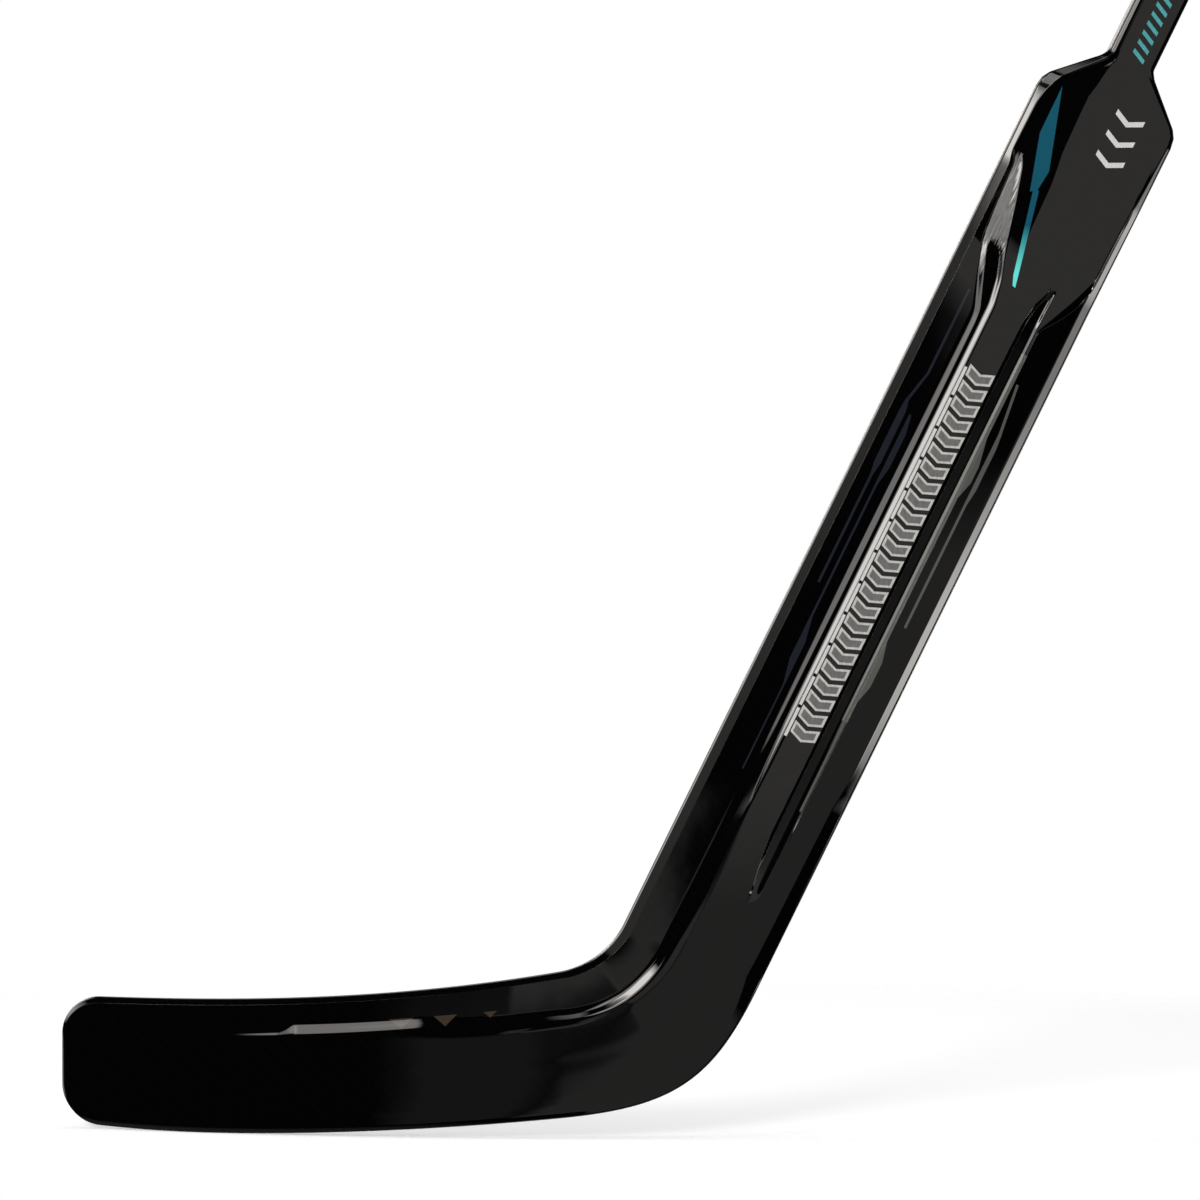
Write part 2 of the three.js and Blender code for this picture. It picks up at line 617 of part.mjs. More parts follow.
addPiece(stick, "damper_strip", damperStrip, rubber());
addPiece(stick, "paddle_outer_web", filling(CORE_TOP, PADDLE_FOOT, "plateauOuter", "grooveInner"), laminate());
addPiece(stick, "paddle_outer_core", filling(CORE_TOP, PADDLE_FOOT, "grooveInner", "outerBevel"), foam());
addPiece(stick, "paddle_outer_rail", filling(CORE_TOP, PADDLE_FOOT, "outerBevel", "outerLand"), laminate());

// The heel and the blade
const BLADE_TOP = HEEL_JOINT + CLEARANCE / 2;
const HEEL_FOOT = FAN_END + HEEL_BLOCK_LAP;
const CORE_ROOT = HEEL_FOOT + CLEARANCE;
const TOE_BLOCK_ROOT = onBlade(BLADE_LENGTH - TOE_BLOCK_LENGTH);
const CORE_TIP = TOE_BLOCK_ROOT - CLEARANCE;
const TOE_BLOCK_TIP = TOE_INSIDE - TOE_WALL - CLEARANCE;
addPiece(stick, "blade_front_skin", skin(BLADE_TOP, onBlade(BLADE_LENGTH), 1), carbon());
addPiece(stick, "blade_back_skin", skin(BLADE_TOP, onBlade(BLADE_LENGTH), -1), carbon());
addPiece(stick, "heel_block", filling(BLADE_TOP, HEEL_FOOT, "innerLand", "outerLand"), resin());
addPiece(stick, "blade_top_rail", filling(CORE_ROOT, CORE_TIP, "innerLand", "innerBevel"), laminate());
addPiece(stick, "blade_upper_core", filling(CORE_ROOT, CORE_TIP, "innerBevel", "ridgeFoot"), foam());
addPiece(stick, "blade_bridge", filling(CORE_ROOT, CORE_TIP, "ridgeFoot", "ridgeTop"), laminate());
addPiece(stick, "blade_lower_core", filling(CORE_ROOT, CORE_TIP, "ridgeTop", "outerBevel"), foam());
addPiece(stick, "blade_foot_rail", filling(CORE_ROOT, CORE_TIP, "outerBevel", "outerLand"), laminate());
addPiece(stick, "toe_block", filling(TOE_BLOCK_ROOT, TOE_BLOCK_TIP, "innerLand", "outerLand"), resin());

export default stick;
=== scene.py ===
"""A hockey goalie stick in its glossy black finish, built around its packed construction."""

import json
import math

import bpy
import numpy as np
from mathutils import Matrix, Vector


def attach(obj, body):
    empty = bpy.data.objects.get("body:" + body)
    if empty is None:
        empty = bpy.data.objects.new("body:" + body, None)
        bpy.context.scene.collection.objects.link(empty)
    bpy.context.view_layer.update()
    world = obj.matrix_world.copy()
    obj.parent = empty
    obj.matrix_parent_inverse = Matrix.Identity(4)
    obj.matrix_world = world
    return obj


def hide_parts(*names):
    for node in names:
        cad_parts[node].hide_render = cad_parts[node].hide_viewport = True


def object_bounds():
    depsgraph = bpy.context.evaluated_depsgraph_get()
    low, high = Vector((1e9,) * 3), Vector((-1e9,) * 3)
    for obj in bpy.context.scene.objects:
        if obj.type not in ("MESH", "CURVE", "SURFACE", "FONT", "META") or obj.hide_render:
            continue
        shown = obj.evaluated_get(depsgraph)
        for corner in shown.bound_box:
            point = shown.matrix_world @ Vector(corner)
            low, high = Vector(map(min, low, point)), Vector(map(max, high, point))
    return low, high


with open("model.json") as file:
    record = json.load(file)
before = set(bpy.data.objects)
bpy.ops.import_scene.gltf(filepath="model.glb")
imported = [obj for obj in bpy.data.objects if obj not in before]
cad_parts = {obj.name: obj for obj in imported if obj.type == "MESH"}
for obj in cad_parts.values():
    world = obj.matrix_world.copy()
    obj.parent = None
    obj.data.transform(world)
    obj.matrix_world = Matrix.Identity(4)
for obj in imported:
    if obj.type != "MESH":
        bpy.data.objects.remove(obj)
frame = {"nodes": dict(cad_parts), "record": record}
cad_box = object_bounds()

MM = 0.001

# Driving sizes of the stick, in millimetres
LEAN = math.radians(26.15)
SHAFT_WIDTH = 29.7
SHAFT_THICKNESS = 20
SHAFT_LENGTH = 700
SHAFT_CORNER = 4
GRIP_TO_NECK = 40
FLARE_LENGTH = 31
PADDLE_WIDTH = 89
PADDLE_LENGTH = 665.8
BLADE_LENGTH = 380
BLADE_HEIGHT = 80.6
BLADE_BOW = 41

# The blade's outline: places from the heel, rises at the heel end and the toe's rounding
BLADE_ROOT = 75
BOW_START = 68
TOP_FLAT = 343
FOOT_LOWEST = 293
TOP_RISE = 19
TOP_POWER = 2.4
FOOT_RISE = 12
FOOT_POWER = 1.75
TOE_LIFT = 4
TOE_RADIUS = 24
TOE_ROUNDING = 3
HEEL_FULLNESS = 0.8

# The print is a film this thick, and the body is lowered by it
FILM = 0.06
CROWN = SHAFT_THICKNESS / 2 - FILM
MID_DEPTH = SHAFT_THICKNESS / 2

SHOULDER = GRIP_TO_NECK + FLARE_LENGTH
HEEL_ALONG = SHOULDER + PADDLE_LENGTH
SHAFT_TOP = GRIP_TO_NECK - SHAFT_LENGTH


# Outline of the body in its plane

def on_stick(along, across):
    """The place (x, z) at a distance down the shaft's line and across it."""
    x = across * math.cos(LEAN) - along * math.sin(LEAN)
    z = -across * math.sin(LEAN) - along * math.cos(LEAN)
    return np.array([x, z])


HEEL = on_stick(HEEL_ALONG, PADDLE_WIDTH / 2)


def top_edge(distance):
    share = max(TOP_FLAT - distance, 0) / (TOP_FLAT - BLADE_ROOT)
    return np.array([HEEL[0] - distance, HEEL[1] + BLADE_HEIGHT + TOP_RISE * share**TOP_POWER])


def foot_edge(distance):
    rear = max(FOOT_LOWEST - distance, 0) / (FOOT_LOWEST - BLADE_ROOT)
    front = max(distance - FOOT_LOWEST, 0) / (BLADE_LENGTH - FOOT_LOWEST)
    return np.array([HEEL[0] - distance, HEEL[1] + FOOT_RISE * rear**FOOT_POWER + TOE_LIFT * front**2])


# The round inner corner between the paddle's edge and the blade's top edge
CORNER_END = top_edge(BLADE_ROOT)
TOP_SLOPE = math.atan(TOP_POWER * TOP_RISE / (TOP_FLAT - BLADE_ROOT))
TOP_NORMAL = np.array([-math.sin(TOP_SLOPE), math.cos(TOP_SLOPE)])
ACROSS = np.array([math.cos(LEAN), -math.sin(LEAN)])
CORNER_RADIUS = (-PADDLE_WIDTH / 2 - ACROSS @ CORNER_END) / (1 + ACROSS @ TOP_NORMAL)
CORNER_CENTRE = CORNER_END + TOP_NORMAL * CORNER_RADIUS
CORNER_TURN = math.pi / 2 - TOP_SLOPE - LEAN
FAN_START = -CORNER_CENTRE[0] * math.sin(LEAN) - CORNER_CENTRE[1] * math.cos(LEAN)
FAN_LENGTH = (CORNER_RADIUS + PADDLE_WIDTH / 2) * CORNER_TURN
FAN_END = FAN_START + FAN_LENGTH
FAN_MIDDLE = FAN_START + FAN_LENGTH / 2

# The round heel runs on from both of its straight neighbours
HEEL_START = on_stick(FAN_START, PADDLE_WIDTH / 2)
HEEL_END = foot_edge(BLADE_ROOT)
FOOT_SLOPE = FOOT_POWER * FOOT_RISE / (FOOT_LOWEST - BLADE_ROOT)
DOWN_SLOPE = 1 / math.tan(LEAN)
HEEL_DROP = HEEL_END[1] - HEEL_START[1] + DOWN_SLOPE * HEEL_START[0] - FOOT_SLOPE * HEEL_END[0]
MEET_X = HEEL_DROP / (DOWN_SLOPE - FOOT_SLOPE)
HEEL_MEET = np.array([MEET_X, HEEL_END[1] + FOOT_SLOPE * (MEET_X - HEEL_END[0])])
HEEL_CONTROLS = (
    HEEL_START,
    HEEL_START + (HEEL_MEET - HEEL_START) * HEEL_FULLNESS,
    HEEL_END + (HEEL_MEET - HEEL_END) * HEEL_FULLNESS,
    HEEL_END,
)

# The flare between neck and shoulder: share of its length, share of its growth
FLARE_SHARES = [(0, 0), (0.15, 0.1), (0.85, 0.87), (1, 0.965), (1.2, 1)]


def heel_curve(share):
    rest = 1 - share
    weights = (rest**3, 3 * rest**2 * share, 3 * rest * share**2, share**3)
    return sum(weight * point for weight, point in zip(weights, HEEL_CONTROLS))


def cross_line(travel):
    """The inner and the outer end of the line across the body at one travel."""
    if travel <= FAN_START:
        shares = [pair[0] for pair in FLARE_SHARES]
        growths = [pair[1] for pair in FLARE_SHARES]
        growth = np.interp((travel - GRIP_TO_NECK) / FLARE_LENGTH, shares, growths)
        half = (SHAFT_WIDTH + (PADDLE_WIDTH - SHAFT_WIDTH) * growth) / 2
        return on_stick(travel, -half), on_stick(travel, half)
    if travel < FAN_END:
        share = (travel - FAN_START) / FAN_LENGTH
        turn = LEAN + CORNER_TURN * share
        ray = np.array([math.cos(turn), -math.sin(turn)])
        return CORNER_CENTRE + ray * CORNER_RADIUS, heel_curve(share)
    distance = min(travel + BLADE_ROOT - FAN_END, BLADE_LENGTH)
    past = min(max(distance - (BLADE_LENGTH - TOE_RADIUS), 0), TOE_RADIUS)
    inset = np.array([0, TOE_RADIUS - math.sqrt(TOE_RADIUS**2 - past**2)])
    return top_edge(distance) - inset, foot_edge(distance) + inset


def neck(distance):
    """The travel at a distance down the flare from the neck."""
    return GRIP_TO_NECK + distance


def down(distance):
    """The travel at a distance down the paddle from its shoulder."""
    return SHOULDER + distance


def out(distance):
    """The travel at a distance out along the blade from its heel."""
    return distance + FAN_END - BLADE_ROOT


def bow_at(x):
    share = max(HEEL[0] - BOW_START - x, 0) / (BLADE_LENGTH - BOW_START)
    return BLADE_BOW * share**2


# The carved lines of the front, each in order from its own edge. A key is a travel, the distance
# from that edge, the height over the mid-plane and the radius that the crease is rounded to. Above
# its first key a line runs on unchanged, up to the butt end
TOE_END = out(BLADE_LENGTH)
TOE_START = out(BLADE_LENGTH - TOE_RADIUS)
TOE_HEIGHT = 2.6

INNER_LINES = {
    "edge": [
        (neck(0), 0, 8.7, 2.6), (neck(8), 0, 7.4, 1), (neck(26.5), 0, 4.6, 0.9), (down(0), 0, 3.6, 1.6),
        (down(42), 0, 3.6, 1.6), (down(56), 0, 3.3, 1.6), (FAN_START, 0, 3.2, 1.6),
        (FAN_MIDDLE, 0, 3.2, 0.9), (out(75), 0, 3, 0.9), (out(175), 0, 2.3, 0.8),
        (out(290), 0, 1.9, 0.8), (TOE_END, 0, 1.6, 0.8),
    ],
    "chamfer_top": [
        (neck(0), 3.6, 9.72, 0.5), (neck(8), 4.6, 9, 0.5), (neck(26.5), 7.4, 6.85, 0.5),
        (down(0), 8.2, 6.1, 0.6), (down(15), 4.6, 5.2, 0.4), (down(47), 4.2, 5.1, 0.4),
        (down(56), 6.1, 6.1, 0.03), (down(143), 6.3, 6.2, 0.03), (down(515), 6.3, 6.2, 0.03),
        (FAN_START, 6.3, 6.1, 0.03), (FAN_MIDDLE, 4.6, 6, 0.03), (out(75), 3.6, 5.2, 0.03),
        (out(175), 3.4, 4.4, 0.03), (out(290), 3.4, 3.8, 0.03), (TOE_START, 3.6, 3.6, 0.03),
        (TOE_END, 3.5, 2.2, 0.8),
    ],
    "first_ridge_foot": [
        (neck(0), 4.2, 9.78, 0.3), (neck(8), 6, 9.05, 0.4), (neck(26.5), 8.6, 6.9, 0.4),
        (down(0), 9.4, 6.15, 0.5), (down(15), 5.6, 5.38, 0.5), (down(47), 6, 5.35, 0.5),
        (down(54), 8.4, 5.3, 0.6), (down(76), 9.2, 5.2, 0.8), (down(100), 11, 5.4, 0.8),
        (down(108), 13.2, 6, 0.6), (down(121), 17.4, 6.6, 0.6), (down(143), 25.6, 7.3, 1.4),
        (down(150), 26, 7.4, 1.6), (down(430), 26, 7.4, 1.6), (down(457), 26.4, 7.8, 1.6),
        (FAN_START, 25.4, 7.5, 1.2), (FAN_MIDDLE, 25, 6.9, 1.2), (out(75), 22.6, 5.6, 1.2),
        (out(130), 19.5, 5.2, 1), (out(158), 16.2, 4.9, 0.8), (out(238), 15.6, 4.35, 0.5),
        (out(240), 20.2, 4.75, 0.6), (out(290), 20.6, 4.6, 0.8), (TOE_START, 19.5, 4.3, 0.8),
        (TOE_END, 6.5, 2.5, 0.8),
    ],
    "first_ridge_top": [
        (neck(0), 4.8, 9.84, 0.3), (neck(8), 7.4, 9.15, 0.4), (neck(26.5), 9.6, 6.98, 0.4),
        (down(0), 10.3, 6.25, 0.5), (down(15), 7.2, 5.67, 0.5), (down(47), 7.6, 5.6, 0.5),
        (down(54), 10.2, 5.8, 0.8), (down(76), 12.9, 6.15, 0.8), (down(100), 16, 6.7, 0.8),
        (down(108), 16.2, 7.2, 0.6), (down(121), 21, 7.7, 0.6), (down(143), 29.2, 8.3, 1.2),
        (down(150), 30, 8.45, 1.2), (down(412), 30, 8.45, 1.2), (down(475), 29.2, 8.2, 1),
        (down(529), 28.2, 7.95, 1), (FAN_START, 27, 7.9, 1.5), (FAN_MIDDLE, 27, 7.3, 1.5),
        (out(75), 24.6, 6, 1.5), (out(130), 21.4, 5.5, 1.2), (out(158), 18.2, 5.3, 0.8),
        (out(238), 17.6, 4.75, 0.5), (out(240), 20.7, 4.85, 0.6), (out(290), 21, 4.65, 0.8),
        (TOE_START, 20.5, 4.35, 0.8), (TOE_END, 8, 2.55, 0.8),
    ],
    "second_ridge_foot": [
        (neck(0), 5.3, 9.88, 0.3), (neck(8), 8.8, 9.3, 0.4), (neck(26.5), 10.6, 7.1, 0.4),
        (down(0), 11.1, 6.4, 0.5), (down(15), 8.8, 5.96, 0.5), (down(47), 9.4, 5.9, 0.5),
        (down(54), 12, 6.3, 0.8), (down(76), 16.5, 7.1, 0.8), (down(100), 20.8, 7.9, 0.8),
        (down(108), 25.4, 8.3, 0.6), (down(121), 29.6, 8.5, 0.6), (down(137), 32.1, 8.6, 0.9),
        (down(412), 32.4, 8.62, 0.9), (down(475), 35, 9.74, 0.6), (down(529), 33.2, 9.25, 1),
        (FAN_START, 29.4, 8.6, 1.5), (FAN_MIDDLE, 29, 8.2, 1.5), (out(75), 26.6, 6.7, 1.5),
        (out(130), 23.2, 5.9, 1.2), (out(158), 20.2, 5.75, 0.8), (out(238), 19.6, 5.15, 0.5),
        (out(240), 21.2, 4.95, 0.6), (out(290), 21.4, 4.7, 0.8), (TOE_START, 21.5, 4.4, 0.8),
        (TOE_END, 9.5, 2.58, 0.8),
    ],
    "second_ridge_top": [
        (neck(0), 5.7, 9.92, 0.3), (neck(8), 10, 9.45, 0.4), (neck(26.5), 11.5, 7.25, 0.4),
        (down(0), 11.9, 6.55, 0.5), (down(15), 10.4, 6.25, 0.5), (down(47), 11.2, 6.2, 0.5),
        (down(54), 13.8, 7, 0.6), (down(76), 20.1, 8.15, 0.6), (down(100), 26, 9.2, 0.6),
        (down(108), 28, 9.4, 0.6), (down(121), 32.4, 9.75, 0.7), (down(137), 35.4, CROWN, 1.1),
        (down(455), 35.8, CROWN, 1.1), (down(529), 36.2, 9.8, 2), (FAN_START, 32.4, 9.4, 2),
        (FAN_MIDDLE, 31, 9.15, 1.6), (out(75), 28.8, 7.45, 1.6), (out(130), 25, 6.35, 1.2),
        (out(158), 22.2, 6.15, 0.8), (out(238), 21.6, 5.55, 0.5), (out(240), 21.7, 5.05, 0.6),
        (out(290), 21.8, 4.75, 0.8), (TOE_START, 23, 4.5, 0.8), (TOE_END, 11, TOE_HEIGHT, 0.8),
    ],
    "plateau_edge": [
        (neck(0), 6.2, CROWN, 0.3), (neck(9.4), 12.5, CROWN, 0.5), (neck(26.5), 28.4, CROWN, 0.6),
        (down(4), 30.8, CROWN, 0.6), (down(37), 31.6, CROWN, 0.6), (down(47), 33, CROWN, 0.6),
        (down(57), 34.3, CROWN, 0.6), (down(73), 34.7, CROWN, 0.6), (down(90), 35.4, CROWN, 0.6),
        (down(99), 37.6, CROWN, 0.6), (down(122), 41.9, CROWN, 0.6), (down(128), 41.9, CROWN, 0.6),
        (down(150), 38.8, CROWN, 1), (down(455), 38.9, CROWN, 1), (down(529), 39, 9.9, 1),
        (FAN_START, 38, 9.7, 2), (FAN_MIDDLE, 36, 9.35, 2), (out(75), 33, 7.7, 2),
        (out(175), 28, 6.25, 2), (out(290), 28, 4.95, 2), (TOE_START, 30, 4.6, 2),
        (TOE_END, 12.5, TOE_HEIGHT, 0.8),
    ],
}

OUTER_LINES = {
    "groove_top": [
        (neck(0), 8.8, CROWN, 0.3), (down(0), 38, CROWN, 0.5), (down(116), 28, CROWN, 0.5),
        (down(126), 32.2, CROWN, 0.5), (down(139), 34, CROWN, 0.03), (down(160), 34.4, CROWN, 0.03),
        (down(480), 34.4, CROWN, 0.03), (down(500), 32.4, 9.9, 0.03), (down(514), 30.2, 9.9, 0.03),
        (down(522), 30.8, 9.9, 0.05), (down(540), 32.5, 9.82, 1), (FAN_START, 36, 9.7, 2),
        (FAN_MIDDLE, 42, 9.25, 2), (out(75), 38, 7.6, 2), (out(175), 38, 6, 2), (out(290), 38, 4.85, 2),
        (TOE_START, 36, 4.5, 2), (TOE_END, 12.5, TOE_HEIGHT, 0.8),
    ],
    "groove_foot": [
        (neck(0), 8, CROWN, 0.3), (down(0), 34, CROWN, 0.5), (down(115), 27.7, CROWN, 0.5),
        (down(118), 27.8, 8.5, 0.6), (down(126), 30.2, 8.15, 0.05), (down(139), 31.8, 8.12, 0.04),
        (down(160), 32.1, 8.14, 0.04), (down(480), 32.3, 8.4, 0.04), (down(500), 31, 8.45, 0.04),
        (down(512), 29.2, 8.6, 0.04), (down(520), 28.4, 9.8, 0.05), (down(540), 29.4, 9.7, 1),
        (FAN_START, 32, 9.5, 2), (FAN_MIDDLE, 37, 9.1, 2), (out(75), 33, 7.4, 2),
        (out(175), 33, 5.85, 2), (out(290), 33, 4.7, 2), (TOE_START, 32, 4.4, 2),
        (TOE_END, 11, TOE_HEIGHT, 0.8),
    ],
    "rib_foot": [
        (neck(0), 7.3, CROWN, 0.3), (down(0), 29, CROWN, 0.5), (down(115), 25.4, CROWN, 0.5),
        (down(118), 25.2, 8.6, 0.6), (down(126), 25.6, 8.6, 0.6), (down(139), 26.4, 8.55, 0.6),
        (down(512), 26.6, 8.55, 0.6), (down(518), 26.6, 9.65, 0.6), (FAN_START, 28, 9.3, 2),
        (FAN_MIDDLE, 32, 8.9, 2), (out(75), 26, 7.4, 2), (out(175), 24, 5.85, 2),
        (out(290), 24, 4.7, 2), (TOE_START, 24, 4.38, 2), (TOE_END, 9.5, TOE_HEIGHT, 0.8),
    ],
    "rib_top": [
        (neck(0), 6.6, CROWN, 0.3), (down(0), 14, CROWN, 0.5), (down(105), 20, CROWN, 0.6),
        (down(116), 24.3, CROWN, 0.5), (down(126), 24.6, 9.7, 0.4), (down(139), 24.4, 9.1, 0.5),
        (down(512), 24.4, 9.05, 0.6), (down(522), 24.6, 9.5, 0.6), (FAN_START, 24, 9.1, 2),
        (FAN_MIDDLE, 27, 8.7, 2), (out(75), 19, 7.2, 2), (out(175), 17, 5.75, 2),
        (out(290), 17, 4.6, 2), (TOE_START, 17, 4.3, 2), (TOE_END, 8, 2.58, 0.8),
    ],
    "wall_top": [
        (neck(0), 5.9, CROWN, 0.3), (down(0), 10, CROWN, 0.5), (down(48), 5, CROWN, 0.3),
        (down(66), 5.7, CROWN, 0.3), (down(98), 6.4, CROWN, 0.3), (down(106), 9.2, CROWN, 0.3),
        (down(112), 11.4, CROWN, 0.3), (down(126), 17.6, 9.85, 0.4), (down(139), 23.6, 9.1, 0.3),
        (down(460), 23.6, 9.05, 0.3), (down(480), 23.2, 9.1, 0.8), (FAN_START, 20, 8.9, 2),
        (FAN_MIDDLE, 20, 8.5, 2), (out(75), 13, 6.95, 2), (out(175), 11, 5.6, 2),
        (out(290), 11, 4.5, 2), (TOE_START, 11, 4.2, 2), (TOE_END, 6.5, 2.55, 0.8),
    ],
    "wall_foot": [
        (neck(0), 5.5, CROWN, 0.3), (down(0), 6, CROWN, 0.5), (down(48), 4.2, 9.85, 0.3),
        (down(66), 4.9, 9.7, 0.3), (down(98), 5.5, 9.6, 0.3), (down(107), 6.4, 6.35, 0.3),
        (down(112), 7, 6.38, 0.4), (down(116), 8.6, 6.6, 0.4), (down(126), 13.8, 7.28, 0.4),
        (down(139), 22.95, 8.4, 0.3), (down(460), 22.95, 8.4, 0.3), (down(475), 22.4, 8.75, 0.6),
        (FAN_START, 15, 8.2, 2), (FAN_MIDDLE, 13, 8, 2), (out(75), 8, 6.5, 1.5),
        (out(175), 6.6, 5.3, 1), (out(290), 6.6, 4.3, 1), (TOE_START, 7, 4, 1), (TOE_END, 5, 2.5, 0.8),
    ],
    "chamfer_top": [
        (neck(0), 5.2, CROWN, 0.5), (down(0), 2, CROWN, 0.5), (down(48), 3.6, 9.6, 0.4),
        (down(66), 4.3, 8.6, 0.4), (down(98), 4.4, 6.5, 0.4), (down(106), 5.2, 6.4, 0.4),
        (down(112), 5.6, 6.32, 0.5), (down(130), 5.6, 6.2, 0.6), (down(434), 5.6, 6.2, 0.7),
        (down(442), 8, 6.3, 0.7), (down(560), 9.2, 6.1, 0.7), (down(595), 6, 6.8, 2),
        (FAN_MIDDLE, 6, 6.6, 2), (out(75), 4, 5.6, 1), (out(175), 3.4, 4.7, 0.8),
        (out(290), 3.4, 3.9, 0.8), (TOE_START, 3.6, 3.7, 0.8), (TOE_END, 3.5, 2.2, 0.8),
    ],
    "edge": [
        (neck(0), 0, CROWN, SHAFT_CORNER), (down(0), 0, 8.8, 1.2), (down(48), 0, 7.6, 0.9),
        (down(66), 0, 6.16, 0.9), (down(98), 0, 4.08, 1.2), (down(106), 0, 3.64, 1.2),
        (down(112), 0, 3.35, 1.4), (down(130), 0, 3.2, 1.6), (down(434), 0, 3.2, 2),
        (down(445), 0, 2.9, 1.2), (down(560), 0, 2.6, 0.8), (down(595), 0, 5.2, 1.6),
        (FAN_MIDDLE, 0, 5, 1.6), (out(75), 0, 3.4, 1.2), (out(175), 0, 2.6, 1), (TOE_END, 0, 1.6, 0.8),
    ],
}

# How far along the body a key's kink is eased
EASE = 2.5

# Beside a rounded crease: the widest margin that holds the flat flat, the most of a flat that a
# rounding takes, and the least distance between two lines
MARGIN = 0.35
MOST_OF_SPAN = 0.45
CLOSEST = 0.04

# The stretches of the body: where each ends, and how far apart its rings of points stand
RING_STRETCHES = [
    (0, 110),
    (GRIP_TO_NECK - EASE, 15),
    (down(155), 1.6),
    (down(450), 12),
    (down(530), 2),
    (FAN_START, 4),
    (FAN_END, 2),
    (TOE_START, 4),
]
TOE_RINGS = 22

# The square of the share of its height that the body keeps at the very toe
TOE_SHARE_SQUARED = 0.02


def read_line(keys, travel):
    """The distance from the edge, the height and the radius of a line at one travel."""
    table = np.array(keys)
    travels = travel + EASE * np.array([-1, -0.5, 0, 0.5, 1])
    return [np.interp(travels, table[:, 0], table[:, k]).mean() for k in (1, 2, 3)]


def rounded_corner(before, corner, after, radius):
    """Four points that round a crease, with one more on each side of it to hold the flats flat."""
    back, ahead = before - corner, after - corner
    back_length, ahead_length = np.linalg.norm(back), np.linalg.norm(ahead)
    reach = min(radius, MOST_OF_SPAN * back_length, MOST_OF_SPAN * ahead_length)
    margin = min(MARGIN, reach)
    most = MOST_OF_SPAN + CLOSEST
    outer = [min(reach + margin, most * side) for side in (back_length, ahead_length)]
    start, end = corner + back * reach / back_length, corner + ahead * reach / ahead_length
    points = [corner + back * outer[0] / back_length]
    for share in (0, 1 / 3, 2 / 3, 1):
        rest = 1 - share
        points.append(start * rest**2 + corner * 2 * rest * share + end * share**2)
    points.append(corner + ahead * outer[1] / ahead_length)
    return points


def section(travel):
    """Points (across, height) of the front, from the inner seam to the outer seam."""
    inner, outer = cross_line(travel)
    width = np.linalg.norm(outer - inner)
    corners, radii = [np.array([0.0, 0.0])], []
    lines = [(keys, 1) for keys in INNER_LINES.values()] + [(keys, -1) for keys in OUTER_LINES.values()]
    for keys, side in lines:
        distance, height, radius = read_line(keys, travel)
        across = distance if side > 0 else width - distance
        least = corners[-1][0] + (CLOSEST if radii else 0)
        corners.append(np.array([max(across, least), height]))
        radii.append(radius)
    corners[-1][0] = width
    corners.append(np.array([width, 0.0]))
    points = [corners[0]]
    for k, radius in enumerate(radii, start=1):
        points += rounded_corner(corners[k - 1], corners[k], corners[k + 1], radius)
        if k < len(radii):
            points.append((corners[k] + corners[k + 1]) / 2)
    points.append(corners[-1])
    return np.array(points)


def toe_share(travel):
    """How much of its height the body still has near the rounded toe."""
    past = max(travel - (TOE_END - TOE_ROUNDING), 0) / TOE_ROUNDING
    return math.sqrt(max(1 - past**2, TOE_SHARE_SQUARED))


def steps(start, end, length):
    count = max(round((end - start) / length), 1)
    return list(np.linspace(start, end, count, endpoint=False))


def stations():
    """The travels at which the body has a ring of points, closer where its shape changes."""
    travels, start = [], SHAFT_TOP
    for end, length in RING_STRETCHES:
        travels += steps(start, end, length)
        start = end
    turns = np.linspace(0, math.pi / 2, TOE_RINGS)
    return travels + [TOE_START + TOE_RADIUS * math.sin(turn) for turn in turns]


def add(name, data):
    """A new object in the scene."""
    made = bpy.data.objects.new(name, data)
    bpy.context.scene.collection.objects.link(made)
    return made


def add_mesh(name, vertices, faces, material):
    mesh = bpy.data.meshes.new(name)
    mesh.from_pydata(vertices, [], faces)
    mesh.materials.append(material)
    mesh.polygons.foreach_set("use_smooth", np.ones(len(mesh.polygons), bool))
    mesh.update()
    return add(name, mesh)


def stick_shell(material):
    """The seamless body from the toe to the butt end, closed at both ends."""
    travels = stations()
    fronts = [section(travel) for travel in travels]
    per_row = len(fronts[0])
    vertices, places = [], []
    for travel, row in zip(travels, fronts):
        inner, outer = cross_line(travel)
        width = np.linalg.norm(outer - inner)
        direction = (outer - inner) / width
        share = toe_share(travel)
        ring = [(across, height) for across, height in row]
        ring += [(across, -height) for across, height in row[-2:0:-1]]
        for across, height in ring:
            x, z = inner + direction * across
            y = MID_DEPTH + bow_at(x) - height * share
            vertices.append((x * MM, y * MM, z * MM))
            places.append(((across - width / 2) * MM, travel * MM))
    ring_size = 2 * per_row - 2
    faces = []
    for s in range(len(travels) - 1):
        for k in range(ring_size):
            a, b = s * ring_size + k, s * ring_size + (k + 1) % ring_size
            faces.append((a, a + ring_size, b + ring_size, b))
    last = (len(travels) - 1) * ring_size
    for k in range(per_row - 1):
        under, under_next = (-k) % ring_size, (-k - 1) % ring_size
        near = (k, k + 1, under_next, under)
        far = (last + k, last + under, last + under_next, last + k + 1)
        faces.append(tuple(dict.fromkeys(near)))
        faces.append(tuple(dict.fromkeys(far)))
    piece = add_mesh("stick_shell", vertices, faces, material)
    mesh = piece.data
    uv = mesh.uv_layers.new(name="print_map")
    corners = np.zeros(len(mesh.loops), np.int32)
    mesh.loops.foreach_get("vertex_index", corners)
    uv.uv.foreach_set("vector", np.array(places, np.float32)[corners].ravel())
    return piece


# Node helpers

def feed(tree, node, inputs):
    """Link or set the inputs of a node by name or number."""
    for name, value in inputs.items():
        if isinstance(value, bpy.types.NodeSocket):
            tree.links.new(value, node.inputs[name])
        else:
            node.inputs[name].default_value = value


